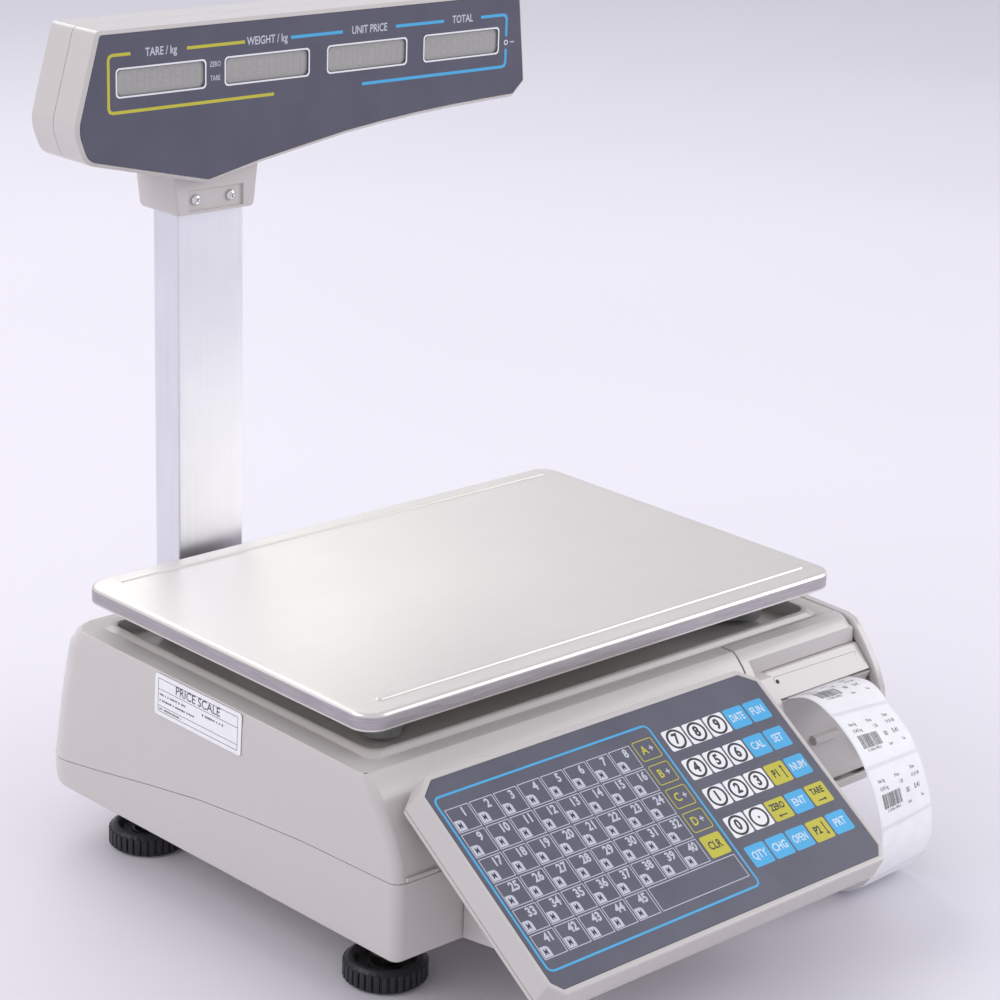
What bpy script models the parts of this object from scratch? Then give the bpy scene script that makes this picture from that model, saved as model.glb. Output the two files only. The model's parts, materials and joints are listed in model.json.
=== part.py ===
"""Label-printing retail price scale with a pole display, modelled as separate named pieces.

Lengths are millimetres and are turned into metres when a mesh is made. +X is the operator's right,
-Y the operator's side, +Z up. Heights are measured from the table, and the other two directions from
the middle of the platter until the scale_frame empty moves everything to the middle of the footprint.
"""

import math

import bmesh
import bpy
from mathutils import Matrix, Vector

MM = 0.001
GAP = 0.4
WALL = 2.5

# Footprint box of the whole scale, seen from above
FOOTPRINT_LEFT, FOOTPRINT_RIGHT = -205.0, 210.0
FOOTPRINT_FRONT, FOOTPRINT_BACK = -287.13, 182.63

# Platter and its support
PLATTER_W, PLATTER_D, PLATTER_TOP, PLATTER_SKIRT = 390.0, 270.0, 176.3, 10.7
PLATTER_SHEET, PLATTER_CORNER = 1.2, 14.0
RIB_FRONT, RIB_BACK, RIB_HALF_LENGTH, RIB_RADIUS = -117.3, 122.5, 176.0, 3.0
WELL_X, WELL_Y, WELL_FLOOR, RIDGE_TOP = 184.0, 127.0, 141.0, 149.9

# Case
CASE_LEFT, CASE_RIGHT = -205.0, 202.6
CASE_BOTTOM_BACK, CASE_BOTTOM_FRONT = 37.4, 43.2
PARTING_LAP = 1.0
PRINTER_SEAM_X, PRINTER_SEAM_Y, PRINTER_SEAM_GAP = 94.6, -130.3, 1.2
DOOR_INNER, DOOR_OUTER, DOOR_BOTTOM, DOOR_BACK = 203.3, 210.0, 60.0, 58.5
DOOR_PIVOT = (206.6, 62.0)

# Printer
BAY_LEFT, BAY_RIGHT, BAY_BOTTOM, BAY_TOP = 115.5, 203.0, 49.8, 130.2
PLATEN = (-143.0, 105.0)
PLATEN_RADIUS = 8.0
GEAR_MODULE, PLATEN_TEETH, MOTOR_TEETH = 1.0, 36, 12
GEAR_DISTANCE = 24.35
ROLL = (-62.0, 97.0)
ROLL_RADIUS = 36.0
TAKE_UP = (-112.0, 68.0)
PLATEN_PULLEY, TAKE_UP_PULLEY = 5.0, 9.0
HEAD_PIVOT = (-112.0, 121.0)

# Keyboard, in its own tilted frame: x across, y up the slope, z out of the face
KEYS_CORNER = (-188.4, -170.0, 147.3)
KEYS_TILT = math.radians(34.4)
KEYS_W, KEYS_H = 265.9, 138.7
KEYS_RIM, KEYS_FLARE, KEYS_SEAM, KEYS_DEPTH = 3.0, 5.4, -14.0, -19.0
OVERLAY_THICK, OVERLAY_SUNK = 0.6, 0.4

# Pole and display head
POST_X, POST_Y, POST_W, POST_D = -90.0, 156.9, 50.4, 25.0
POST_WALL, POST_BOTTOM, POST_TOP = 1.8, 62.0, 446.0
HEAD_FRONT, HEAD_SEAM, HEAD_BACK = 127.2, 151.0, 174.8
LCD_LEFT, LCD_PITCH, LCD_W, LCD_TOP, LCD_H = -170.6, 78.7, 64.4, 489.0, 16.8

# Levelling feet
FOOT_X, FOOT_FRONT, FOOT_BACK = 162.8, -117.3, 113.8
STUD_HOLE_RADIUS = 5.6

# Sockets on the back wall: left, right, bottom and top of each flange, and its outer face
BACK_FLANGE = (177.6, 180.2)
INLET_FLANGE = (99.6, 136.4, 68.0, 98.0)
SWITCH_FLANGE = (144.6, 173.4, 69.0, 97.0)
PORTS_FLANGE = (-34.0, 10.0, 70.0, 96.0)
ROCKER_PIVOT = (172.0, 83.0)


def clear_scene():
    for obj in list(bpy.data.objects):
        bpy.data.objects.remove(obj, do_unlink=True)


def new_collection(name):
    collection = bpy.data.collections.new(name)
    bpy.context.scene.collection.children.link(collection)
    return collection


def new_empty(name, location, tilt=0.0, parent=None):
    empty = bpy.data.objects.new(name, None)
    empty.location = Vector(location) * MM
    empty.rotation_euler = (tilt, 0.0, 0.0)
    empty.parent = parent
    PARTS.objects.link(empty)
    return empty


def new_material(name, colour, roughness, metallic=0.0):
    material = bpy.data.materials.new(name)
    material.use_nodes = True
    shader = material.node_tree.nodes["Principled BSDF"]
    shader.inputs["Base Color"].default_value = (*colour, 1.0)
    shader.inputs["Roughness"].default_value = roughness
    shader.inputs["Metallic"].default_value = metallic
    return material


# Outlines -------------------------------------------------------------------------------------


def rounded(corners, radii, steps=4):
    """The closed outline through these 2D corners, each rounded by its radius with an arc."""
    if not isinstance(radii, (list, tuple)):
        radii = [radii] * len(corners)
    outline = []
    for i, corner in enumerate(corners):
        here = Vector(corner)
        before = (Vector(corners[i - 1]) - here).normalized()
        after = (Vector(corners[(i + 1) % len(corners)]) - here).normalized()
        half_angle = before.angle(after) / 2
        if radii[i] <= 0 or half_angle > math.radians(89):
            outline.append(here)
            continue
        centre = here + (before + after).normalized() * (radii[i] / math.sin(half_angle))
        reach = radii[i] / math.tan(half_angle)
        start, end = here + before * reach - centre, here + after * reach - centre
        turn = start.angle_signed(end)
        for k in range(steps + 1):
            outline.append(centre + Matrix.Rotation(-turn * k / steps, 2) @ start)
    return outline


def rectangle(x0, x1, y0, y1, radius=0.0, steps=4):
    return rounded([(x0, y0), (x1, y0), (x1, y1), (x0, y1)], radius, steps)


def grown(corners, amount):
    """The convex or slightly concave polygon of these corners (counter-clockwise), moved outwards."""
    moved = []
    for i, corner in enumerate(corners):
        here = Vector(corner)
        into = (here - Vector(corners[i - 1])).normalized()
        out = (Vector(corners[(i + 1) % len(corners)]) - here).normalized()
        normal_in, normal_out = Vector((into.y, -into.x)), Vector((out.y, -out.x))
        bisector = (normal_in + normal_out).normalized()
        moved.append(here + bisector * (amount / bisector.dot(normal_in)))
    return moved


def gear_outline(teeth, phase):
    """Trapezoid teeth on a pitch circle, thinned for backlash; phase turns tooth 0 to that angle."""
    pitch = GEAR_MODULE * teeth / 2
    points = []
    for tooth in range(teeth):
        middle = phase + 2 * math.pi * tooth / teeth
        for radius, half_width in ((-1.2, -0.85), (0.85, -0.3), (0.85, 0.3), (-1.2, 0.85)):
            r = pitch + radius * GEAR_MODULE
            angle = middle + half_width * GEAR_MODULE / r
            points.append((r * math.cos(angle), r * math.sin(angle)))
    return points


def belt_outline(first, first_radius, second, second_radius, steps=8):
    """The taut loop round two circles, as a counter-clockwise outline."""
    first, second = Vector(first), Vector(second)
    line = second - first
    heading = math.atan2(line.y, line.x)
    lean = math.acos((first_radius - second_radius) / line.length)
    points = []
    for centre, radius, start, end in (
        (second, second_radius, heading - lean, heading + lean),
        (first, first_radius, heading + lean, heading - lean + 2 * math.pi),
    ):
        for k in range(steps + 1):
            angle = start + (end - start) * k / steps
            points.append(centre + Vector((math.cos(angle), math.sin(angle))) * radius)
    return points


# Solids ---------------------------------------------------------------------------------------


def box(low, high):
    mesh = bmesh.new()
    size = [b - a for a, b in zip(low, high)]
    middle = [(a + b) / 2 for a, b in zip(low, high)]
    bmesh.ops.create_cube(mesh, matrix=Matrix.LocRotScale(middle, None, size))
    return mesh


AXIS_TURN = {
    "X": Matrix.Rotation(math.pi / 2, 4, "Y"),
    "Y": Matrix.Rotation(-math.pi / 2, 4, "X"),
    "Z": Matrix(),
}


def cylinder(axis, centre, radius, length, sides=24, end_radius=None):
    mesh = bmesh.new()
    matrix = Matrix.Translation(centre) @ AXIS_TURN[axis]
    end = radius if end_radius is None else end_radius
    bmesh.ops.create_cone(
        mesh, cap_ends=True, segments=sides, radius1=radius, radius2=end, depth=length, matrix=matrix
    )
    return mesh


def loft(rings):
    """A closed skin over rings of equally many 3D points, with a flat cap on the first and last ring."""
    mesh = bmesh.new()
    made = [[mesh.verts.new(point) for point in ring] for ring in rings]
    for low, high in zip(made, made[1:]):
        for i in range(len(low)):
            j = (i + 1) % len(low)
            mesh.faces.new((low[i], low[j], high[j], high[i]))
    mesh.faces.new(made[0][::-1])
    mesh.faces.new(made[-1])
    return mesh


def flat(outlines, thickness, to_world):
    """A flat 2D curve with its inner outlines as holes, extruded both ways, as a mesh."""
    curve = bpy.data.curves.new("outline", "CURVE")
    curve.dimensions = "2D"
    curve.fill_mode = "BOTH"
    curve.extrude = thickness / 2
    for outline in outlines:
        spline = curve.splines.new("POLY")
        spline.points.add(len(outline) - 1)
        for point, where in zip(spline.points, outline):
            point.co = (where[0], where[1], 0.0, 1.0)
        spline.use_cyclic_u = True
    holder = bpy.data.objects.new("outline", curve)
    bpy.context.scene.collection.objects.link(holder)
    graph = bpy.context.evaluated_depsgraph_get()
    sheet = bpy.data.meshes.new_from_object(holder.evaluated_get(graph))
    mesh = bmesh.new()
    mesh.from_mesh(sheet)
    bmesh.ops.remove_doubles(mesh, verts=mesh.verts, dist=0.01)
    bmesh.ops.transform(mesh, matrix=to_world, verts=mesh.verts)
    bmesh.ops.recalc_face_normals(mesh, faces=mesh.faces)
    bpy.data.objects.remove(holder)
    bpy.data.curves.remove(curve)
    bpy.data.meshes.remove(sheet)
    return mesh


def lying(outlines, low, high):
    """A flat piece in the XY plane from one height to another."""
    return flat(outlines, high - low, Matrix.Translation((0, 0, (low + high) / 2)))


# Columns send an outline's (first, second) coordinates to (Y, Z) or (X, Z)
SIDEWAYS = Matrix(((0, 0, 1, 0), (1, 0, 0, 0), (0, 1, 0, 0), (0, 0, 0, 1)))
UPRIGHT = Matrix(((1, 0, 0, 0), (0, 0, -1, 0), (0, 1, 0, 0), (0, 0, 0, 1)))


def sideways(outlines, low, high):
    """A flat piece whose outline is in (Y, Z), from one X to another."""
    return flat(outlines, high - low, Matrix.Translation(((low + high) / 2, 0, 0)) @ SIDEWAYS)


def upright(outlines, low, high):
    """A flat piece whose outline is in (X, Z), from one Y to another."""
    return flat(outlines, high - low, Matrix.Translation((0, (low + high) / 2, 0)) @ UPRIGHT)


def to_object(name, mesh, collection, origin=(0, 0, 0), parent=None):
    bmesh.ops.translate(mesh, vec=-Vector(origin), verts=mesh.verts)
    bmesh.ops.scale(mesh, vec=(MM, MM, MM), verts=mesh.verts)
    bmesh.ops.recalc_face_normals(mesh, faces=mesh.faces)
    data = bpy.data.meshes.new(name)
    mesh.to_mesh(data)
    mesh.free()
    obj = bpy.data.objects.new(name, data)
    obj.location = Vector(origin) * MM
    obj.parent = parent if parent is not None else FRAME
    collection.objects.link(obj)
    return obj


def part(name, mesh, material, origin=(0, 0, 0), parent=None, bevel=0.0, smooth=True):
    obj = to_object(name, mesh, PARTS, origin, parent)
    obj.data.materials.append(material)
    if bevel:
        rounding = obj.modifiers.new("edges", "BEVEL")
        rounding.width = bevel * MM
        rounding.segments = 1
        rounding.limit_method = "ANGLE"
        rounding.angle_limit = math.radians(40)
    if smooth:
        obj.data.shade_smooth()
        obj.data.set_sharp_from_angle(angle=math.radians(35))
    return obj


def boolean(obj, mesh, operation, parent=None):
    cutter = to_object(f"{obj.name}_{operation.lower()}_{len(obj.modifiers)}", mesh, CUTTERS, parent=parent)
    cutter.hide_render = True
    cutter.display_type = "WIRE"
    modifier = obj.modifiers.new(operation.lower(), "BOOLEAN")
    modifier.operation = operation
    modifier.object = cutter
    modifier.solver = "EXACT"


def cut(obj, mesh, parent=None):
    boolean(obj, mesh, "DIFFERENCE", parent)


def join(obj, mesh, parent=None):
    boolean(obj, mesh, "UNION", parent)


def keep(obj, mesh, parent=None):
    boolean(obj, mesh, "INTERSECT", parent)


def turned(name, profile, material, origin, axis="Z", steps=24):
    """A turned piece: (radius, height) points from top to bottom on the outer side, on a Screw."""
    data = bpy.data.meshes.new(name)
    points = [(radius * MM, 0.0, height * MM) for radius, height in profile]
    loop = profile[0][0] > 0
    edges = [(i, i + 1) for i in range(len(points) - 1)]
    if loop:
        edges.append((len(points) - 1, 0))
    data.from_pydata(points, edges, [])
    obj = bpy.data.objects.new(name, data)
    obj.location = Vector(origin) * MM
    obj.rotation_euler = AXIS_TURN[axis].to_euler()
    obj.parent = FRAME
    PARTS.objects.link(obj)
    screw = obj.modifiers.new("turn", "SCREW")
    screw.steps = steps
    screw.render_steps = steps
    screw.use_merge_vertices = True
    screw.merge_threshold = 0.00001
    screw.use_smooth_shade = True
    data.materials.append(material)
    return obj


def tube_path(name, points, radius, material):
    """A cable or wire as a POLY curve with a round bevel and filled ends."""
    curve = bpy.data.curves.new(name, "CURVE")
    curve.dimensions = "3D"
    curve.bevel_depth = radius * MM
    curve.bevel_resolution = 2
    curve.use_fill_caps = True
    spline = curve.splines.new("POLY")
    spline.points.add(len(points) - 1)
    for point, where in zip(spline.points, points):
        point.co = (*(Vector(where) * MM), 1.0)
    obj = bpy.data.objects.new(name, curve)
    obj.parent = FRAME
    curve.materials.append(material)
    PARTS.objects.link(obj)
    return obj


# Case -----------------------------------------------------------------------------------------


def between(table, value):
    """Straight-line interpolation in a short (input, output) table."""
    for (a, out_a), (b, out_b) in zip(table, table[1:]):
        if value <= b:
            share = max(0.0, (value - a) / (b - a))
            return out_a + (out_b - out_a) * share
    return table[-1][1]


def parting_height(y):
    """Height of the curved parting line between the lower and upper case."""
    return between([(-175, 92), (-90, 89), (-42, 85), (6, 80), (56, 72), (108, 63), (178, 52)], y)


def deck_height(y):
    return between([(-141, 146.5), (-84, 147.6), (150, 148.0)], y)


def bottom_height(y):
    return between([(-175, CASE_BOTTOM_FRONT), (178, CASE_BOTTOM_BACK)], y)


SIDE_STATIONS = 7
FRONT_STATIONS = 3
ARC_STATIONS = 8


def case_ring(left, right, front, back, front_radius, back_radius, height):
    """One level of the case: a rounded rectangle with extra points along its sides, at height(y)."""
    corners = (
        ((left, front), front_radius, math.pi),
        ((right, front), front_radius, 1.5 * math.pi),
        ((right, back), back_radius, 0.0),
        ((left, back), back_radius, 0.5 * math.pi),
    )
    arcs = []
    for (x, y), radius, start in corners:
        cx = x + radius if x == left else x - radius
        cy = y + radius if y == front else y - radius
        arc = []
        for k in range(ARC_STATIONS + 1):
            angle = start + 0.5 * math.pi * k / ARC_STATIONS
            arc.append(Vector((cx + radius * math.cos(angle), cy + radius * math.sin(angle))))
        arcs.append(arc)
    outline = []
    for i, arc in enumerate(arcs):
        outline.extend(arc)
        following = arcs[(i + 1) % 4][0]
        stations = FRONT_STATIONS if i % 2 == 0 else SIDE_STATIONS
        for k in range(1, stations):
            outline.append(arc[-1].lerp(following, k / stations))
    return [(p.x, p.y, height(p.y)) for p in outline]


def upper_skin(inset, floor_drop):
    """Outer skin of the upper case, from the parting line up over the rim and ridge into the well."""

    def rise(share):
        return lambda y: (parting_height(y) - PARTING_LAP) * (1 - share) + (deck_height(y) - floor_drop) * share

    levels = [
        (0.0, 0.0, -173.5, 178.0, 6.5, 35),
        (0.22, 0.4, -171.5, 174.5, 6.5, 35),
        (0.45, 0.8, -165.5, 170.0, 6.5, 34),
        (0.68, 1.2, -157.0, 164.5, 6.5, 33),
        (0.86, 1.6, -149.5, 156.5, 6.0, 27),
        (0.965, 2.3, -143.5, 146.5, 5.5, 22),
    ]
    rings = []
    for share, side, front, back, front_radius, back_radius in levels:
        rings.append(
            case_ring(
                CASE_LEFT + side + inset,
                CASE_RIGHT - side * 0.7 - inset,
                front + inset,
                back - inset,
                max(front_radius - inset, 2),
                back_radius - inset,
                rise(share),
            )
        )
    rim = case_ring(
        CASE_LEFT + 3.2 + inset, CASE_RIGHT - 2.6 - inset, -140.5 + inset, 140.5 - inset, 5, 19, rise(1.0)
    )
    rings.append(rim)
    return rings


def at_height(ring, height):
    return [(x, y, height) for x, y, _ in ring]


def well_ring(reach, radius, height):
    return case_ring(-WELL_X - reach, WELL_X + reach, -WELL_Y - reach, WELL_Y + reach, radius, radius, height)


def upper_solid():
    rings = upper_skin(0.0, 0.0)
    rings.insert(0, at_height(rings[0], 30.0))
    rings.append(well_ring(3.0, 8, deck_height))
    for reach, height in ((0.0, RIDGE_TOP), (-3.0, RIDGE_TOP), (-5.0, WELL_FLOOR)):
        rings.append(at_height(well_ring(reach, 8, deck_height), height))
    return loft(rings)


def parting_block(lower_side, shift):
    """Everything below, or above, the curved parting line."""
    line = [(y, parting_height(y) + shift) for y in (-260, -175, -90, -42, 6, 56, 108, 178, 260)]
    far = -50.0 if lower_side else 250.0
    return sideways([[(-260, far), *line, (260, far)]], -300, 300)


def upper_case_shell():
    """The upper case before it is split: outer solid less the space inside, open at the parting line."""
    obj = to_object("upper_case", upper_solid(), PARTS)
    rings = upper_skin(WALL, WALL)
    hollow = [at_height(rings[0], 20.0), *rings]
    hollow.append(well_ring(5.5, 8, lambda y: deck_height(y) - WALL))
    for reach, height in ((-0.5, RIDGE_TOP - WALL), (-1.5, RIDGE_TOP - WALL), (-3.0, WELL_FLOOR - WALL)):
        hollow.append(at_height(well_ring(reach, 7, deck_height), height))
    cut(obj, loft(hollow))
    cut(obj, parting_block(True, GAP / 2))
    return obj


def front_corner_block(margin):
    """The front right corner that belongs to the printer's own cover."""
    return box((PRINTER_SEAM_X - margin, -190, 40), (240, PRINTER_SEAM_Y + margin, 170))


def printer_bay():
    return box((BAY_LEFT, -190, BAY_BOTTOM), (BAY_RIGHT, -132, BAY_TOP))


POST_HOLE = (
    (POST_X - POST_W / 2 - GAP, POST_Y - POST_D / 2 - GAP, POST_BOTTOM - GAP),
    (POST_X + POST_W / 2 + GAP, POST_Y + POST_D / 2 + GAP, 200.0),
)


def side_opening():
    """Opening in the right wall, through which labels are loaded."""
    return box((190, -128, DOOR_BOTTOM + 6), (215, 46, 134))


def build_upper_case():
    obj = upper_case_shell()
    obj.data.materials.append(PLASTIC)
    socket = loft(
        [
            [(x, y, 60.0) for x, y in rectangle(-124, -58.6, 134, 176.0, 4, 2)],
            [(x, y, 141.0) for x, y in rectangle(-122, -60.6, 134, 173.6, 4, 2)],
            [(x, y, 146.2) for x, y in rectangle(-120, -62.6, 134, 172.0, 4, 2)],
        ]
    )
    join(obj, socket)
    cut(obj, front_corner_block(0.0))
    cut(obj, box(*POST_HOLE))
    cut(obj, cylinder("Z", (POST_X, POST_Y, 60), 4.0, 12, 16))
    cut(obj, side_opening())
    cut(obj, box((14, -27, 130), (76, 27, 150)))
    cut(obj, box((104, 150, 72), (132, 190, 94)))
    cut(obj, box((149, 150, 73), (169, 190, 93)))
    cut(obj, box((-30, 150, 74), (6, 190, 92)))
    obj.data.shade_smooth()
    obj.data.set_sharp_from_angle(angle=math.radians(35))
    return obj


def build_printer_cover():
    obj = upper_case_shell()
    obj.name = "printer_front_cover"
    obj.data.materials.append(PLASTIC)
    keep(obj, front_corner_block(-PRINTER_SEAM_GAP))
    back = PRINTER_SEAM_Y - 4.0
    brow = [(-147.4, 139.6), (-147.4, BAY_TOP), (back, BAY_TOP), (back, 144.4)]
    join(obj, sideways([brow], PRINTER_SEAM_X + 3.0, CASE_RIGHT - 1.5))
    join(obj, box((PRINTER_SEAM_X + 3.0, -155.5, 125.0), (BAY_LEFT + 2.0, -145.0, BAY_TOP + 2.0)))
    scoop = [(-190, BAY_TOP - GAP), (-147.4, BAY_TOP - GAP), (-147.4, 141.0), (-190, 141.0)]
    cut(obj, sideways([scoop], BAY_LEFT - 13.5, BAY_RIGHT))
    cut(obj, box((BAY_LEFT, -190, 40), (BAY_RIGHT, -128, BAY_TOP)))
    obj.data.shade_smooth()
    obj.data.set_sharp_from_angle(angle=math.radians(35))
    return obj


def build_lower_case():
    def ring(side, front, back, front_radius, back_radius, height):
        return case_ring(
            CASE_LEFT + side, CASE_RIGHT - side, front, back, front_radius, back_radius, height
        )

    def above_bottom(rise):
        return lambda y: bottom_height(y) + rise

    outer = [
        ring(2.6, -170.9, 175.4, 5, 33, bottom_height),
        ring(0.9, -172.6, 177.1, 6.5, 34.5, above_bottom(1.5)),
        ring(0.3, -173.2, 177.8, 7, 35, above_bottom(6.0)),
        ring(0.0, -173.5, 178.0, 7, 35, above_bottom(40.0)),
    ]
    outer.append(at_height(outer[-1], 110.0))
    obj = part("lower_case", loft(outer), PLASTIC)
    inner = [
        ring(WALL + 1.6, -171.9 + WALL, 176.4 - WALL, 4, 31, above_bottom(WALL)),
        ring(WALL, -173.5 + WALL, 178.0 - WALL, 5, 32.5, above_bottom(WALL + 4.0)),
    ]
    inner.append(at_height(inner[-1], 120.0))
    cut(obj, loft(inner))
    cut(obj, parting_block(False, -GAP / 2))
    cut(obj, printer_bay())
    cut(obj, side_opening())
    cut(obj, box((-126.5, 127, 59.2), (-56.1, 190, 100)))
    for x, y in feet_places():
        cut(obj, cylinder("Z", (x, y, 45), STUD_HOLE_RADIUS, 30, 16))
    return obj


def feet_places():
    return [(side * FOOT_X, y) for y in (FOOT_FRONT, FOOT_BACK) for side in (-1, 1)]


def build_chassis():
    """Folded steel base plate that carries the load cell and takes the feet."""
    outline = rectangle(-186, 184, -140, 138, 8, 2)
    plate = part("chassis_plate", lying([outline], 46.6, 49.1), STEEL)
    for x, y in feet_places():
        cut(plate, cylinder("Z", (x, y, 48), STUD_HOLE_RADIUS, 30, 16))
    part("load_cell_block", box((-64, -20, 49.5), (-27, 20, 65.6)), ALUMINIUM, bevel=0.6)
    cell = part("load_cell", box((-65, -20, 66), (65, 20, 88)), ALUMINIUM, bevel=0.6)
    for x in (-12.0, 12.0):
        cut(cell, cylinder("Y", (x, 0, 77), 8.6, 60, 20))
    cut(cell, box((-12, -30, 73.5), (12, 30, 80.5)))


def build_platter():
    rings = []
    half_w, half_d = PLATTER_W / 2, PLATTER_D / 2
    profile = [(0.0, -PLATTER_SKIRT), (0.0, -3.4), (0.55, -1.7), (1.7, -0.5), (3.4, 0.0)]

    def level(inset, height):
        outline = rectangle(
            -half_w + inset, half_w - inset, -half_d + inset, half_d - inset, PLATTER_CORNER - inset, 9
        )
        return [(p.x, p.y, PLATTER_TOP + height) for p in outline]

    for inset, drop in profile:
        rings.append(level(inset, drop))
    platter = part("platter", loft(rings), STAINLESS)
    sheet = PLATTER_SHEET
    hollow = [
        level(sheet, -PLATTER_SKIRT - 2.0),
        level(sheet, -3.6),
        level(sheet + 1.4, -sheet - 0.8),
        level(3.6, -sheet),
    ]
    for y in (RIB_FRONT, RIB_BACK):
        rib = cylinder("X", (4.0, y, PLATTER_TOP - 1.9), RIB_RADIUS, 2 * RIB_HALF_LENGTH, 16)
        join(platter, rib)
    cut(platter, loft(hollow))


def build_platter_support():
    """Cast spider: a column down to the load cell, four arms and the pads that the platter sits on."""
    spider = part(
        "platter_support", box((26, -20, 88.9), (64, 20, 146)), CAST_ALUMINIUM, smooth=False
    )
    join(spider, box((-50, -32, 143.6), (72, 32, 152)))
    for x in (-1, 1):
        for y in (-1, 1):
            start, end = Vector((x * 30.0, y * 18.0)), Vector((x * 152.0, y * 96.0))
            across = (end - start).orthogonal().normalized() * 11.0
            arm = [start + across, start - across, end - across, end + across]
            join(spider, lying([arm], 144.2, 151.4))
            join(spider, cylinder("Z", (end.x, end.y, 159.4), 12.0, 30.4, 16))


def build_bubble_level():
    """Round level vial on the floor of the well, with a chamfered top edge."""
    profile = [(0, 7.0), (8.0, 7.0), (9.5, 5.5), (9.5, 0.0), (0, 0.0)]
    turned("bubble_level", profile, CLEAR, (-150.0, -60.0, WELL_FLOOR + GAP), steps=20)


def build_feet():
    names = ("front_left", "front_right", "back_left", "back_right")
    wheel_profile = [
        (20.0, 9.0), (21.0, 12.5), (22.4, 15.0), (24.0, 14.4), (25.0, 12.6), (25.0, 2.4), (23.6, 0.6),
        (22.0, 0.0), (5.4, 0.0), (5.4, 8.0), (10.0, 8.0),
    ]
    stud_profile = [
        (0, 53.0), (4.2, 53.0), (5.0, 52.0), (5.0, 18.4), (8.6, 17.8), (9.0, 16.8), (9.0, 8.6), (5.0, 8.6),
        (5.0, 1.2), (0, 1.2),
    ]
    for name, (x, y) in zip(names, feet_places()):
        turned(f"foot_wheel_{name}", wheel_profile, BLACK, (x, y, 0.0), steps=32)
        turned(f"foot_stud_{name}", stud_profile, STEEL, (x, y, 0.0), steps=16)


# Printer --------------------------------------------------------------------------------------


def build_side_cover():
    """Right side door, as deep as the case's own profile; it turns on a vertical pin at its back."""
    front = [(-171.6, 62), (-173.2, 92), (-171.4, 104), (-165.6, 116), (-157.2, 128.4), (-149.6, 137.6)]
    top = [(-143.4, 143.4), (-136, 145.4), (-84, 146.8), (DOOR_BACK, 146.8)]
    outline = [(DOOR_BACK, DOOR_BOTTOM), (-167.0, DOOR_BOTTOM), *front, *top]
    pivot = (*DOOR_PIVOT, 0.0)
    door = part("side_cover", sideways([outline[::-1]], DOOR_INNER, DOOR_OUTER), PLASTIC, pivot, bevel=1.6)
    cut(door, sideways([[(y * 0.94 - 4.0, (z - 105) * 0.9 + 105) for y, z in outline[::-1]]], 200.0, 206.8))
    join(door, cylinder("Z", (*DOOR_PIVOT, 105.0), 3.0, 66.0, 16))
    join(door, box((204.6, DOOR_BACK - 3.0, 72), (208.6, DOOR_PIVOT[1], 138)))
    cut(door, cylinder("Z", (*DOOR_PIVOT, 105.0), 1.6, 70.0, 12))
    hinge = part("side_cover_hinge", box((203.1, 66.0, 64), (204.3, 76.0, 146)), STEEL, smooth=False)
    for low, high in ((65, 70), (140, 145)):
        join(hinge, box((203.1, 59.6, low), (208.8, 70.0, high)))
    join(hinge, cylinder("Z", (*DOOR_PIVOT, 105.0), 1.2, 78.0, 12))


def build_printer_front():
    slope = [(-162.9, 116.0), (-159.7, 116.0), (-146.8, 129.8), (-150.0, 129.8)]
    part("printer_bezel", sideways([slope], BAY_LEFT + GAP, BAY_RIGHT - GAP), PLASTIC, bevel=0.3)
    front = [
        (-163.6, 114.6), (-160.4, 108), (-158.4, 101), (-157.4, 94), (-158.2, 82), (-161.0, 68),
        (-166.5, 54), (-168.2, 50.3),
    ]
    back = [
        (-165.0, 50.3), (-162.6, 56), (-157.8, 69), (-155.2, 82), (-154.4, 94), (-155.6, 102),
        (-157.6, 109), (-160.4, 114.6),
    ]
    panel = part(
        "printer_front_panel", sideways([front + back], BAY_LEFT + 0.9, BAY_RIGHT - GAP), PLASTIC
    )
    grip = [(-158.0, 80.6), (-162.4, 79.4), (-163.6, 76.0), (-161.4, 74.4), (-158.0, 74.4)]
    join(panel, sideways([grip], 154.5, 177.5))


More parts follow.
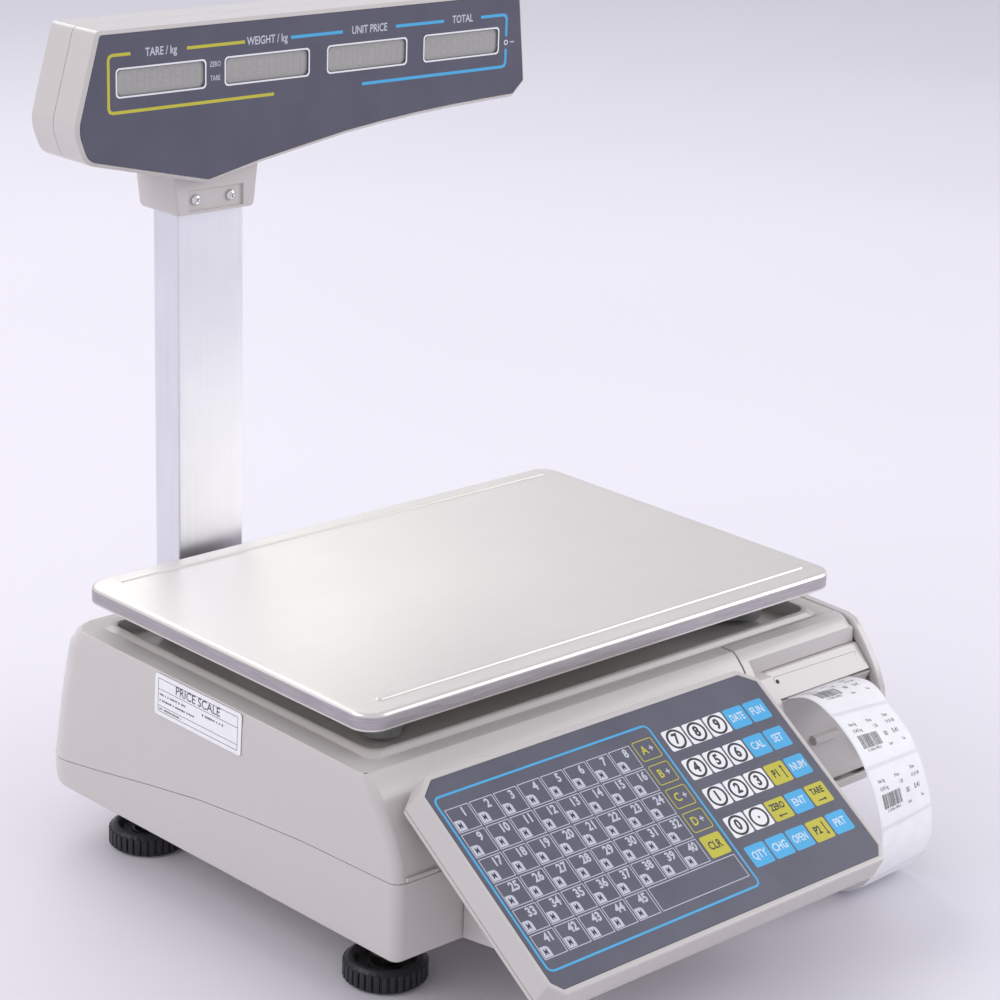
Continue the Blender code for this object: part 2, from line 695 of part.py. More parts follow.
def build_printer_mechanism():
    left_plate, right_plate = (112.6, 114.2), (186.4, 188.0)
    frame = part("printer_frame", box((112.6, -150, 50.2), (188.0, 4, 52.2)), STEEL, smooth=False)
    plate = [(-150, 50.2), (4, 50.2), (4, 80), (-40, 118), (-98, 126), (-141, 126), (-150, 108)]
    for low, high in (left_plate, right_plate):
        join(frame, sideways([plate], low, high))
    bearings = ((PLATEN, 3.6), (ROLL, 4.4), (TAKE_UP, 3.6), (HEAD_PIVOT, 2.4))
    for place, radius in bearings:
        cut(frame, cylinder("X", (150, *place), radius, 120, 16))
    cut(frame, cylinder("Z", (FOOT_X, FOOT_FRONT, 50), 7.0, 30, 16))

    turned(
        "platen_roller",
        [
            (0, 43.0), (2.8, 43.0), (2.8, 33.5), (PLATEN_RADIUS, 33.5), (PLATEN_RADIUS, -33.5), (2.8, -33.5),
            (2.8, -41.5), (0, -41.5),
        ],
        RUBBER, (149.5, *PLATEN), "X", 20,
    )

    drive_angle = math.radians(-45)
    axis = Matrix.Translation((109.0, *PLATEN)) @ SIDEWAYS
    hole = [(3.1 * math.cos(a * math.pi / 6), 3.1 * math.sin(a * math.pi / 6)) for a in range(12)]
    gear = flat([gear_outline(PLATEN_TEETH, drive_angle), hole], 4.0, axis)
    part("platen_gear", gear, NYLON, (109.0, *PLATEN))

    motor = (
        PLATEN[0] + GEAR_DISTANCE * math.cos(drive_angle),
        PLATEN[1] + GEAR_DISTANCE * math.sin(drive_angle),
    )
    half_tooth = math.pi / MOTOR_TEETH
    bore = [(1.5 * math.cos(a * math.pi / 5), 1.5 * math.sin(a * math.pi / 5)) for a in range(10)]
    pinion = flat(
        [gear_outline(MOTOR_TEETH, drive_angle + math.pi + half_tooth), bore],
        4.0,
        Matrix.Translation((109.0, *motor)) @ SIDEWAYS,
    )
    part("motor_pinion", pinion, BRASS, (109.0, *motor))
    body = part("feed_motor", cylinder("X", (94.0, *motor), 17.0, 22.0, 28), BLACK, bevel=0.8)
    join(body, cylinder("X", (108.5, *motor), 1.2, 8.0, 12))
    join(body, box((104.0, motor[0] - 4.5, motor[1] - 22.0), (105.6, motor[0] + 4.5, motor[1] + 22.0)))

    turned(
        "label_roll",
        [(ROLL_RADIUS, 30.0), (ROLL_RADIUS, -30.0), (13.2, -30.0), (13.2, 30.0)],
        PAPER, (152.0, *ROLL), "X", 36,
    )
    turned(
        "label_spindle",
        [
            (0, 37.8), (4.0, 37.8), (4.0, 31.4), (12.6, 31.4), (12.6, -31.4), (4.0, -31.4), (4.0, -40.8),
            (0, -40.8),
        ],
        NYLON, (152.0, *ROLL), "X", 20,
    )
    turned(
        "take_up_spool",
        [
            (0, 42.0), (3.0, 42.0), (3.0, 33.0), (12.0, 33.0), (12.0, 31.0), (7.0, 31.0), (7.0, -29.0),
            (12.0, -29.0), (12.0, -31.0), (3.0, -31.0), (3.0, -37.6), (0, -37.6),
        ],
        NYLON, (150.0, *TAKE_UP), "X", 20,
    )
    pulleys = (("platen_pulley", PLATEN, PLATEN_PULLEY), ("take_up_pulley", TAKE_UP, TAKE_UP_PULLEY))
    for name, place, radius in pulleys:
        turned(
            name,
            [
                (radius + 1.6, 2.4), (radius + 1.6, 1.9), (radius, 1.5), (radius, -1.5), (radius + 1.6, -1.9),
                (radius + 1.6, -2.4), (3.1, -2.4), (3.1, 2.4),
            ],
            NYLON, (191.2, *place), "X", 20,
        )
    outer = belt_outline(PLATEN, PLATEN_PULLEY + 1.3, TAKE_UP, TAKE_UP_PULLEY + 1.3)
    inner = belt_outline(PLATEN, PLATEN_PULLEY + 0.3, TAKE_UP, TAKE_UP_PULLEY + 0.3)
    part("take_up_belt", sideways([outer, inner], 190.2, 192.2), RUBBER)

    head_low, head_high = PLATEN[1] + PLATEN_RADIUS + 0.5, HEAD_PIVOT[1] + 3.4
    arm = [
        (-147.0, head_low), (-134.0, head_low), (-128.0, 117.0), (-114.0, 117.0), (-108.6, 119.0),
        (-108.6, head_high), (-120.0, head_high), (-136.0, 120.6), (-147.0, 118.0),
    ]
    head = part(
        "print_head", sideways([arm], 118.0, 183.0), ALUMINIUM, (150.0, *HEAD_PIVOT), smooth=False
    )
    cut(head, cylinder("X", (150, *HEAD_PIVOT), 2.3, 90, 14))
    part("print_head_shaft", cylinder("X", (150.3, *HEAD_PIVOT), 2.0, 75.0, 14), STEEL)
    part("peel_bar", cylinder("X", (150.3, PLATEN[0] - 11.0, PLATEN[1] + 6.2), 1.4, 71.0, 10), STEEL)


LABEL_PATH = [
    (-153.0, 115.0), (-163.0, 115.3), (-170.0, 117.4), (-178.0, 118.8), (-186.0, 117.6), (-194.0, 113.6),
    (-206.0, 106.0), (-218.0, 96.2), (-228.5, 82.0), (-236.5, 66.0), (-241.5, 50.0), (-241.8, 34.0),
    (-236.0, 18.5), (-227.0, 8.0), (-213.0, 2.2), (-197.0, 0.9),
]


def build_label_strip():
    """Strip of printed labels that hangs out of the slot, curls down and ends on the table."""
    half = 0.2
    front, back = [], []
    for i, point in enumerate(LABEL_PATH):
        before = Vector(LABEL_PATH[max(i - 1, 0)])
        after = Vector(LABEL_PATH[min(i + 1, len(LABEL_PATH) - 1)])
        along = (after - before).normalized()
        normal = Vector((-along.y, along.x)) * half
        front.append(Vector(point) + normal)
        back.append(Vector(point) - normal)
    part("label_strip", sideways([front + back[::-1]], 123.6, 183.6), PAPER)


# Electrics ------------------------------------------------------------------------------------


def back_flange(place):
    left, right, bottom, top = place
    return box((left, BACK_FLANGE[0], bottom), (right, BACK_FLANGE[1], top))


def build_electrics():
    board = part("main_board", lying([rectangle(-178, -76, -92, 60)], 56.0, 57.6), BOARD_GREEN, smooth=False)
    for low, high in (
        ((-160, -70, 57.4), (-130, -40, 60.0)),
        ((-112, -30, 57.4), (-92, -6, 64.0)),
        ((-168, 10, 57.4), (-150, 46, 66.0)),
        ((-130, 20, 57.4), (-100, 28, 62.0)),
    ):
        join(board, box(low, high))
    for x in (-172, -82):
        for y in (-86, 54):
            join(board, cylinder("Z", (x, y, 53.0), 3.0, 7.0, 10))
    supply = part("power_supply", box((92, 58, 49.6), (176, 102, 86)), STEEL, bevel=0.8)
    cut(supply, box((96, 48, 60), (172, 62, 80)))

    inlet = part("power_inlet", back_flange(INLET_FLANGE), BLACK, bevel=1.0)
    join(inlet, box((104.6, 150.0, 72.6), (131.4, 179, 93.4)))
    cut(inlet, box((107.0, 166.0, 75.0), (129.0, 190, 91.0)))
    for x in (112.0, 118.0, 124.0):
        join(inlet, box((x - 1.0, 160.0, 81.0), (x + 1.0, 176.0, 85.0)))
    housing = part("switch_housing", back_flange(SWITCH_FLANGE), BLACK, bevel=1.0)
    join(housing, box((149.6, 156.0, 73.6), (168.4, 179, 92.4)))
    cut(housing, box((151.4, 160.0, 75.4), (166.6, 190, 90.6)))
    rocker = [
        (165.0, 78.0), (180.2, 76.4), (182.4, 76.8), (180.6, 83.0), (180.2, 88.4), (165.0, 87.0),
    ]
    part("power_rocker", sideways([rocker], 152.4, 165.6), RED, (159.0, *ROCKER_PIVOT), bevel=0.5)

    ports = part("data_ports", back_flange(PORTS_FLANGE), STEEL, smooth=False)
    join(ports, box((-29.6, 156, 74.6), (5.6, 178.6, 91.4)))
    cut(ports, box((-26, 164, 77), (-12, 190, 89)))
    cut(ports, box((-8, 164, 78), (3, 190, 88)))


# Pole and display head ------------------------------------------------------------------------


HEAD_CORNERS = [
    (-199.9, 455.0), (-192.6, 435.0), (-104.5, 414.4), (-64.0, 422.6), (-26.6, 428.5), (2.2, 432.9),
    (31.6, 436.2), (61.6, 438.8), (92.3, 440.7), (123.7, 441.9), (144.6, 442.6), (155.0, 452.0),
    (148.6, 511.6), (-183.5, 511.6),
]
HEAD_RADII = [22.0, 12.0, 6.0, 80.0, 80.0, 80.0, 80.0, 80.0, 80.0, 80.0, 4.0, 4.0, 4.0, 4.0]


def head_outline(inset):
    corners = grown(HEAD_CORNERS, -inset)
    radii = [max(radius - inset, 0.5) for radius in HEAD_RADII]
    return rounded(corners, radii, 5)


def head_ring(inset, y):
    return [(p.x, y, p.y) for p in head_outline(inset)]


def lcd_windows(grow):
    low, high = LCD_TOP - LCD_H - grow, LCD_TOP + grow
    for i in range(4):
        x0 = LCD_LEFT + i * LCD_PITCH
        yield rectangle(x0 - grow, x0 + LCD_W + grow, low, high, 3.0, 2)


def build_head_half(name, face, seam, inward):
    """One half of the display head: face is its outside plane and seam where the halves meet."""
    shell = part(
        f"head_{name}_shell",
        loft([head_ring(0.0, seam), head_ring(0.0, face + 2.0 * inward), head_ring(1.8, face)]),
        PLASTIC,
    )
    cavity = loft([head_ring(WALL, face + 3.6 * inward), head_ring(WALL, seam + 5.0 * inward)])
    cut(shell, cavity)
    pocket = upright([head_outline(2.2)], *sorted((face - 2.0 * inward, face + 1.2 * inward)))
    cut(shell, pocket)
    for window in lcd_windows(0.0):
        cut(shell, upright([window], *sorted((face - 3.0 * inward, face + 8.0 * inward))))
    cut(shell, box(POST_HOLE[0], (*POST_HOLE[1][:2], 460.0)))

    overlay = upright(
        [head_outline(2.6), *lcd_windows(-0.8)], *sorted((face + 0.3 * inward, face + 0.9 * inward))
    )
    part(f"head_{name}_overlay", overlay, PANEL_DARK, smooth=False)

    board_low, board_high = sorted((face + 9.0 * inward, face + 10.6 * inward))
    slab = box((-178, board_low, 462), (138, board_high, 500))
    board = part(f"display_board_{name}", slab, BOARD_GREEN, smooth=False)
    for i in range(4):
        x0 = LCD_LEFT + i * LCD_PITCH
        glass_y = sorted((face + 4.0 * inward, face + 9.2 * inward))
        join(board, box((x0 - 1.5, glass_y[0], 470.0), (x0 + LCD_W + 1.5, glass_y[1], 491.0)))


def build_head():
    build_head_half("front", HEAD_FRONT, HEAD_SEAM - GAP / 2, 1.0)
    build_head_half("rear", HEAD_BACK, HEAD_SEAM + GAP / 2, -1.0)


def build_pole():
    outer = rectangle(
        POST_X - POST_W / 2, POST_X + POST_W / 2, POST_Y - POST_D / 2, POST_Y + POST_D / 2, 1.2, 2
    )
    inner = rectangle(
        POST_X - POST_W / 2 + POST_WALL, POST_X + POST_W / 2 - POST_WALL,
        POST_Y - POST_D / 2 + POST_WALL, POST_Y + POST_D / 2 - POST_WALL,
    )
    post = part("post", lying([outer, inner], POST_BOTTOM, POST_TOP), ALUMINIUM, smooth=False)
    tube_path(
        "head_cable",
        [
            (-100, 100, 64), (-98, 122, 56), (POST_X, 149, 53), (POST_X, POST_Y, 57), (POST_X, POST_Y, 250),
            (POST_X, POST_Y, 450), (-70, 150, 456),
        ],
        2.6,
        RUBBER,
    )

    def ring(z, x0, x1, y0, y1):
        return [(p.x, p.y, z) for p in rectangle(x0, x1, y0, y1, 1.6, 2)]

    collar = part(
        "neck_collar",
        loft(
            [
                ring(393.8, -119.6, -63.0, 137.8, 175.4),
                ring(396.0, -120.8, -61.9, 136.8, 176.2),
                ring(430.0, -124.6, -57.7, 136.8, 176.4),
            ]
        ),
        PLASTIC,
    )
    under_head = loft([head_ring(-GAP, 120.0), head_ring(-GAP, 185.0)])
    cut(collar, under_head)
    cut(
        collar,
        box(
            (POST_HOLE[0][0], POST_HOLE[0][1], 380.0),
            (POST_HOLE[1][0], POST_HOLE[1][1], 440.0),
        ),
    )
    cut(collar, box((-112.4, 130.0, 395.8), (-70.9, 138.4, 408.8)))
    for side, x in (("left", -106.2), ("right", -79.8)):
        screw = part(
            f"neck_screw_{side}", cylinder("Y", (x, 137.0, 402.6), 3.4, 2.0, 18, 2.6), STEEL
        )
        join(screw, cylinder("Y", (x, 147.0, 402.6), 1.4, 20.0, 10))
        cut(collar, cylinder("Y", (x, 142.0, 402.6), 1.8, 12.0, 12))
        cut(post, cylinder("Y", (x, 146.0, 402.6), 1.8, 8.0, 10))


# Keyboard -------------------------------------------------------------------------------------


def keys_corners(grow):
    """Outline of the keyboard face with its cut corners, in the keyboard's own frame."""
    corners = [
        (5.0, -KEYS_H), (KEYS_W - 5.0, -KEYS_H), (KEYS_W, -KEYS_H + 6.0), (KEYS_W, -8.0),
        (KEYS_W - 10.0, 0.0), (10.0, 0.0), (0.0, -8.0), (0.0, -KEYS_H + 6.0),
    ]
    return grown(corners, grow)


def keys_ring(grow, height, radius=1.5):
    return [(p.x, p.y, height) for p in rounded(keys_corners(grow), radius, 2)]


def build_keyboard():
    tilt = new_empty("keyboard_tilt", KEYS_CORNER, KEYS_TILT, FRAME)
    top = part(
        "keyboard_top_shell",
        loft(
            [
                keys_ring(KEYS_FLARE, KEYS_SEAM),
                keys_ring(KEYS_RIM + 0.8, -0.8),
                keys_ring(KEYS_RIM, 0.0),
            ]
        ),
        PLASTIC,
        parent=tilt,
    )
    cut(top, loft([keys_ring(1.2, KEYS_SEAM - 2.0), keys_ring(0.6, -3.2)]), tilt)
    cut(top, loft([keys_ring(0.25, -OVERLAY_SUNK - OVERLAY_THICK - 0.3), keys_ring(0.25, 2.0)]), tilt)
    overlay = loft([keys_ring(0.0, -OVERLAY_SUNK - OVERLAY_THICK), keys_ring(0.0, -OVERLAY_SUNK)])
    part("keyboard_overlay", overlay, PANEL_DARK, parent=tilt, smooth=False)
    board = box((8, -KEYS_H + 8, -5.4), (KEYS_W - 8, -10, -3.8))
    part("keyboard_board", board, BOARD_GREEN, parent=tilt, smooth=False)

    bottom = part(
        "keyboard_bottom_shell",
        loft(
            [
                keys_ring(KEYS_FLARE - 2.2, KEYS_DEPTH),
                keys_ring(KEYS_FLARE, KEYS_DEPTH + 2.0),
                keys_ring(KEYS_FLARE, KEYS_SEAM - GAP),
            ]
        ),
        PLASTIC,
        parent=tilt,
    )
    slope_cos, slope_tan = math.cos(KEYS_TILT), math.tan(KEYS_TILT)

    def slab_under(y, depth):
        return KEYS_CORNER[2] + (y - KEYS_CORNER[1]) * slope_tan + depth / slope_cos

    back, nose = -174.0, -262.0
    wedge_depth = KEYS_DEPTH + 2.5
    outline = [
        (nose, 57.0),
        (back, 45.2),
        (back, slab_under(back, wedge_depth)),
        (nose, slab_under(nose, wedge_depth)),
    ]
    join(bottom, sideways([outline], -155.0, 60.0))
    inner = [
        (nose + 16.0, 58.0),
        (back + 5.0, 48.2),
        (back + 5.0, slab_under(back, KEYS_DEPTH - 3.0)),
        (nose + 16.0, slab_under(nose + 16.0, KEYS_DEPTH - 3.0)),
    ]
    cut(bottom, sideways([inner], -152.0, 57.0))


def build_rating_label():
    """Plate on the left wall; it stands off the wall by the modelling gap and follows its lean."""
    low, high = 121.5, 147.5
    lean = Matrix.Rotation(math.radians(2.3), 4, "Y")
    plate = flat(
        [rectangle(-41.5, 41.5, -13.0, 13.0)],
        0.3,
        Matrix.Translation((CASE_LEFT + 1.0, 7.0, (low + high) / 2)) @ lean @ SIDEWAYS,
    )
    part("rating_label", plate, PAPER, smooth=False)


clear_scene()
PARTS = new_collection("retail_price_scale")
CUTTERS = new_collection("cutters")
FRAME = new_empty(
    "scale_frame",
    (-(FOOTPRINT_LEFT + FOOTPRINT_RIGHT) / 2, -(FOOTPRINT_FRONT + FOOTPRINT_BACK) / 2, 0.0),
)

PLASTIC = new_material("case_plastic", (0.61, 0.58, 0.56), 0.45)
PANEL_DARK = new_material("panel_dark", (0.11, 0.11, 0.15), 0.35)
STAINLESS = new_material("stainless_steel", (0.72, 0.71, 0.66), 0.28, 1.0)
STEEL = new_material("plated_steel", (0.62, 0.63, 0.65), 0.35, 1.0)
ALUMINIUM = new_material("brushed_aluminium", (0.80, 0.81, 0.84), 0.32, 1.0)
CAST_ALUMINIUM = new_material("cast_aluminium", (0.52, 0.53, 0.55), 0.55, 1.0)
BLACK = new_material("black_plastic", (0.012, 0.013, 0.014), 0.45)
RUBBER = new_material("black_rubber", (0.02, 0.02, 0.02), 0.8)
NYLON = new_material("white_nylon", (0.75, 0.74, 0.70), 0.5)
BRASS = new_material("brass", (0.78, 0.57, 0.25), 0.3, 1.0)
PAPER = new_material("label_paper", (0.86, 0.86, 0.88), 0.6)
BOARD_GREEN = new_material("circuit_board", (0.03, 0.20, 0.08), 0.5)
CLEAR = new_material("level_vial", (0.65, 0.80, 0.30), 0.1)
RED = new_material("rocker_red", (0.55, 0.03, 0.03), 0.35)

build_lower_case()
build_upper_case()
build_printer_cover()
build_chassis()
build_platter()
build_platter_support()
build_bubble_level()
build_feet()
build_side_cover()
build_printer_front()
build_printer_mechanism()
build_label_strip()
build_electrics()
build_pole()
build_head()
build_keyboard()
build_rating_label()
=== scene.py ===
"""Looks of a label-printing retail price scale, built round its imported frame.

Places are millimetres from the middle of the platter and the table top, and turn into the frame's
metres when a mesh is made. +X is the operator's right, -Y the operator's side, +Z up.
"""

import json
import math
import random

import bmesh
import bpy
from mathutils import Matrix, Vector

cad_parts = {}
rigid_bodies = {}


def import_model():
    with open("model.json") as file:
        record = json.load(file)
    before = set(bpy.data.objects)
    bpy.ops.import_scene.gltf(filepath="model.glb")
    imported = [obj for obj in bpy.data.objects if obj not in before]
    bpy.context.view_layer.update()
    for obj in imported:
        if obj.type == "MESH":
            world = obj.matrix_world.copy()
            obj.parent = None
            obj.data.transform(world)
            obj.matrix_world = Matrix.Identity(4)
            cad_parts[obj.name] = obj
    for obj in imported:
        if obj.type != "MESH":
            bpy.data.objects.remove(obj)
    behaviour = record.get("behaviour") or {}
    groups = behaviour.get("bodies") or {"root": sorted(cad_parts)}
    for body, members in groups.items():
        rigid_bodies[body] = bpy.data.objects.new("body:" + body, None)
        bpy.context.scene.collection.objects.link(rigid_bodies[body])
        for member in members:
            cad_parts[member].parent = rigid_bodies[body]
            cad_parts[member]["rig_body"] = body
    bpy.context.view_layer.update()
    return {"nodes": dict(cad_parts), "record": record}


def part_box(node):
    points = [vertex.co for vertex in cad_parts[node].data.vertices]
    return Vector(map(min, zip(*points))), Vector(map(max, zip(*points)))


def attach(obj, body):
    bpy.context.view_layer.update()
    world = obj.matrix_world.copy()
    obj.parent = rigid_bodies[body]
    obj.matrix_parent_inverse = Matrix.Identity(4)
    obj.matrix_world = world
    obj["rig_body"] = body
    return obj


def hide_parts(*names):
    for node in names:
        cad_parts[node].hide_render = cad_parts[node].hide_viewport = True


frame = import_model()

MM = 0.001
PLATTER_LOW, PLATTER_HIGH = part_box("platter")
MIDDLE = Vector(((PLATTER_LOW.x + PLATTER_HIGH.x) / 2, (PLATTER_LOW.y + PLATTER_HIGH.y) / 2, 0.0))
TO_FRAME = Matrix.Translation(MIDDLE) @ Matrix.Scale(MM, 4)
FEET = ("front_left", "front_right", "back_left", "back_right")


def box_mm(node):
    """Lowest and highest corner of a CAD node, in millimetres from the middle of the platter."""
    low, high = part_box(node)
    return (low - MIDDLE) / MM, (high - MIDDLE) / MM


# Materials -----------------------------


class Look:
    """A procedural material. Its texture space is the frame's own metres."""

    def __init__(self, name):
        self.material = bpy.data.materials.new(name)
        self.material.use_nodes = True
        self.tree = self.material.node_tree
        self.shader = self.tree.nodes["Principled BSDF"]
        self.place = self.tree.nodes.new("ShaderNodeTexCoord").outputs["Object"]

    def feed(self, socket, value):
        if isinstance(value, bpy.types.NodeSocket):
            self.tree.links.new(value, socket)
        elif isinstance(value, tuple) and len(value) == 3 and socket.type == "RGBA":
            socket.default_value = (*value, 1.0)
        else:
            socket.default_value = value

    def node(self, kind, inputs=None, **settings):
        made = self.tree.nodes.new(kind)
        for name, value in settings.items():
            setattr(made, name, value)
        for key, value in (inputs or {}).items():
            self.feed(made.inputs[key], value)
        return made

    def set(self, **inputs):
        for name, value in inputs.items():
            self.feed(self.shader.inputs[name.replace("_", " ")], value)

    def noise(self, size_mm, detail=2.0, stretch=(1.0, 1.0, 1.0), turn=(0.0, 0.0, 0.0)):
        """Noise with blobs of about size_mm, drawn out along each axis by stretch."""
        place = self.node("ShaderNodeMapping", {"Vector": self.place, "Rotation": turn})
        place.inputs["Scale"].default_value = [1.0 / s for s in stretch]
        return self.node(
            "ShaderNodeTexNoise",
            {"Vector": place.outputs["Vector"], "Scale": 1.0 / (size_mm * MM), "Detail": detail},
        ).outputs["Fac"]

    def spread(self, value, low, high, start=0.3, end=0.7):
        """value from start to end becomes low to high."""
        inputs = {"Value": value, "From Min": start, "From Max": end, "To Min": low, "To Max": high}
        return self.node("ShaderNodeMapRange", inputs).outputs["Result"]

    def mix(self, share, first, second):
        made = self.node("ShaderNodeMix", data_type="RGBA")
        self.feed(made.inputs[0], share)
        self.feed(made.inputs[6], first)
        self.feed(made.inputs[7], second)
        return made.outputs[2]

    def tint(self, value, colour, low, high):
        """Sets the base colour to low to high times this colour as value goes across its range."""
        tone = self.spread(value, 0, 1)
        self.set(Base_Color=self.mix(tone, shade(colour, low), shade(colour, high)))

    def combine(self, operation, first, second):
        return self.node("ShaderNodeMath", {0: first, 1: second}, operation=operation).outputs[0]

    def band(self, low, high, edge_mm=0.6):
        """1 between two heights in metres, and 0 outside them."""
        height = self.node("ShaderNodeSeparateXYZ", {"Vector": self.place}).outputs["Z"]
        rising = self.spread(height, 0.0, 1.0, low, low + edge_mm * MM)
        return self.combine("MULTIPLY", rising, self.spread(height, 1.0, 0.0, high - edge_mm * MM, high))

    def bump(self, height, depth_mm, strength=1.0, below=None):
        inputs = {"Height": height, "Distance": depth_mm * MM, "Strength": strength}
        if below is not None:
            inputs["Normal"] = below
        return self.node("ShaderNodeBump", inputs).outputs["Normal"]


def shade(colour, factor):
    return tuple(min(1.0, c * factor) for c in colour)


def moulded(name, colour, roughness, grain_mm=0.55, grain_depth=0.012, uneven=0.05, wear_and_shade=0.055):
    """Moulded plastic: spark-eroded grain, faint flow marks and patches of gloss rubbed by fingers."""
    look = Look(name)
    flow = look.noise(60.0, 3.0, (1.0, 1.0, 0.6))
    fine = look.noise(grain_mm, 2.0)
    dust = look.noise(9.0, 4.0)
    broad, small = look.combine("MULTIPLY", flow, 0.7), look.combine("MULTIPLY", dust, 0.3)
    tone = look.spread(look.combine("ADD", broad, small), 0, 1)
    look.set(Base_Color=look.mix(tone, shade(colour, 1 - uneven), shade(colour, 1 + uneven * 0.6)))
    rub = look.spread(dust, roughness - wear_and_shade, roughness + wear_and_shade)
    look.set(Roughness=look.combine("ADD", rub, look.spread(fine, -0.02, 0.02)))
    look.set(Normal=look.bump(fine, grain_depth, 0.6), IOR=1.5)
    return look.material


def brushed(name, colour, roughness, along, line_mm=0.16, depth=0.006, cloudy=0.35, skirt=None):
    """Brushed metal: long fine scratches along one axis, blotches of polish and a few deeper lines; given a
    skirt band, painted shade darkens the colour between its two heights.
    """
    look = Look(name)
    stretch = [1.0, 1.0, 1.0]
    stretch["XYZ".index(along)] = 240.0
    lines = look.noise(line_mm, 3.0, stretch)
    stretch["XYZ".index(along)] = 90.0
    deep = look.noise(line_mm * 5, 2.0, stretch)
    cloud = look.noise(45.0, 3.0)
    tone = look.combine("ADD", look.spread(lines, -0.5, 0.5), look.spread(cloud, -cloudy, cloudy))
    tone = look.spread(tone, 0.0, 1.0, -0.8, 0.8)
    base = look.mix(tone, shade(colour, 0.91), shade(colour, 1.06))
    # Painted shade: between the skirt band's heights the colour is painted darker, in streaks, for the darker
    # reflection on the platter's sides
    if skirt:
        streaks = look.noise(0.5, 3.0, (40.0, 40.0, 1.0))
        wear_and_shade = look.mix(look.spread(streaks, 0, 1), SKIRT_SHADE_DARK, SKIRT_SHADE_LIGHT)
        base = look.mix(look.band(*skirt), base, wear_and_shade)
    look.set(Base_Color=base, Metallic=1.0)
    scratched = look.spread(lines, -0.06, 0.06)
    polished = look.spread(cloud, roughness - 0.1 * cloudy, roughness + 0.1 * cloudy)
    look.set(Roughness=look.combine("ADD", scratched, polished))
    below = look.bump(deep, depth * 1.5, 0.5)
    look.set(Normal=look.bump(lines, depth, 0.7, below))
    return look.material


def plated(name, colour, roughness):
    """Sheet steel with zinc plating: patchy crystals and light scuffs."""
    look = Look(name)
    patch = look.noise(3.5, 3.0)
    scuff = look.noise(0.4, 2.0, (8.0, 1.0, 1.0))
    tone = look.spread(look.combine("ADD", patch, look.combine("MULTIPLY", scuff, 0.4)), 0, 1, 0.45, 0.95)
    look.set(Base_Color=look.mix(tone, shade(colour, 0.8), shade(colour, 1.1)), Metallic=1.0)
    look.set(Roughness=look.spread(patch, roughness - 0.08, roughness + 0.1))
    look.set(Normal=look.bump(scuff, 0.01, 0.4))
    return look.material


def cast(name, colour):
    """Cast aluminium with its sandy skin."""
    look = Look(name)
    sand = look.noise(0.9, 4.0)
    patch = look.noise(14.0, 2.0)
    look.tint(patch, colour, 0.85, 1.1)
    look.set(Metallic=1.0, Roughness=look.spread(sand, 0.45, 0.65))
    look.set(Normal=look.bump(sand, 0.12, 0.5))
    return look.material


def film(name, colour):
    """Printed polyester film: a very fine frosting over an even ink, with faint scuffing."""
    look = Look(name)
    frost = look.noise(0.32, 2.0)
    scuff = look.noise(26.0, 4.0)
    look.tint(scuff, colour, 0.94, 1.08)
    look.set(Roughness=look.spread(scuff, 0.30, 0.42), IOR=1.5)
    look.set(Normal=look.bump(frost, 0.004, 0.5))
    return look.material


def ink(name, colour, roughness=0.38, patchy=0.04):
    """Printing ink on film or paper, a little uneven where it was screened on."""
    look = Look(name)
    screened = look.noise(0.35, 2.0)
    fade = look.noise(18.0, 2.0)
    tone = look.spread(look.combine("ADD", screened, fade), 0, 1, 0.7, 1.3)
    look.set(Base_Color=look.mix(tone, shade(colour, 1 - patchy), shade(colour, 1 + patchy)))
    look.set(Roughness=look.spread(screened, roughness - 0.04, roughness + 0.06))
    look.set(Normal=look.bump(screened, 0.003, 0.4))
    return look.material


def paper(name, colour, see_through=0.0):
    """Thermal label paper: fine fibres and a faint warm mottling."""
    look = Look(name)
    fibre = look.noise(0.5, 3.0, (3.0, 1.0, 1.0))
    mottle = look.noise(12.0, 2.0)
    look.tint(mottle, colour, 0.97, 1.02)
    look.set(Roughness=look.spread(fibre, 0.42, 0.55), Normal=look.bump(fibre, 0.006, 0.5))
    look.set(Transmission_Weight=see_through, Subsurface_Weight=0.15)
    look.shader.inputs["Subsurface Radius"].default_value = (0.001, 0.001, 0.001)
    return look.material


def display_glass(name, colour):
    """Unlit liquid crystal glass: an even grey layer with a faint wash under a clear coat."""
    look = Look(name)
    wash = look.noise(22.0, 2.0, (3.0, 1.0, 1.0))
    haze = look.noise(6.0, 2.0)
    look.tint(wash, colour, 0.97, 1.04)
    look.set(Roughness=look.spread(haze, 0.24, 0.34), Coat_Weight=0.25, Coat_Roughness=0.08)
    return look.material


def board(name, colour):
    """Circuit board: solder mask over fine tracks, with tinned pads in a grid."""
    look = Look(name)
    tracks = look.node(
        "ShaderNodeTexBrick",
        {"Vector": look.place, "Scale": 90.0, "Color1": shade(colour, 0.8), "Color2": shade(colour, 1.5)},
        offset=0.37,
    )
    look.feed(tracks.inputs["Mortar"], shade(colour, 2.4))
    tracks.inputs["Mortar Size"].default_value = 0.03
    grid = look.node("ShaderNodeTexVoronoi", {"Vector": look.place, "Scale": 170.0}, distance="CHEBYCHEV")
    pad = look.spread(grid.outputs["Distance"], 1.0, 0.0, 0.12, 0.16)
    mottle = look.noise(8.0, 2.0)
    base = look.mix(look.spread(mottle, 0.0, 0.4), tracks.outputs["Color"], shade(colour, 0.7))
    look.set(Base_Color=look.mix(pad, base, (0.62, 0.62, 0.60)), Metallic=pad)
    look.set(Roughness=look.spread(mottle, 0.28, 0.4))
    look.set(Normal=look.bump(tracks.outputs["Fac"], 0.03, 0.6))
    return look.material


def fluid(name, colour):
    """The vial's clear fluid, a little uneven in tint."""
    look = Look(name)
    swirl = look.noise(6.0, 2.0)
    look.tint(swirl, colour, 0.9, 1.1)
    look.set(Transmission_Weight=0.8, Roughness=look.spread(swirl, 0.03, 0.08), IOR=1.45)
    return look.material


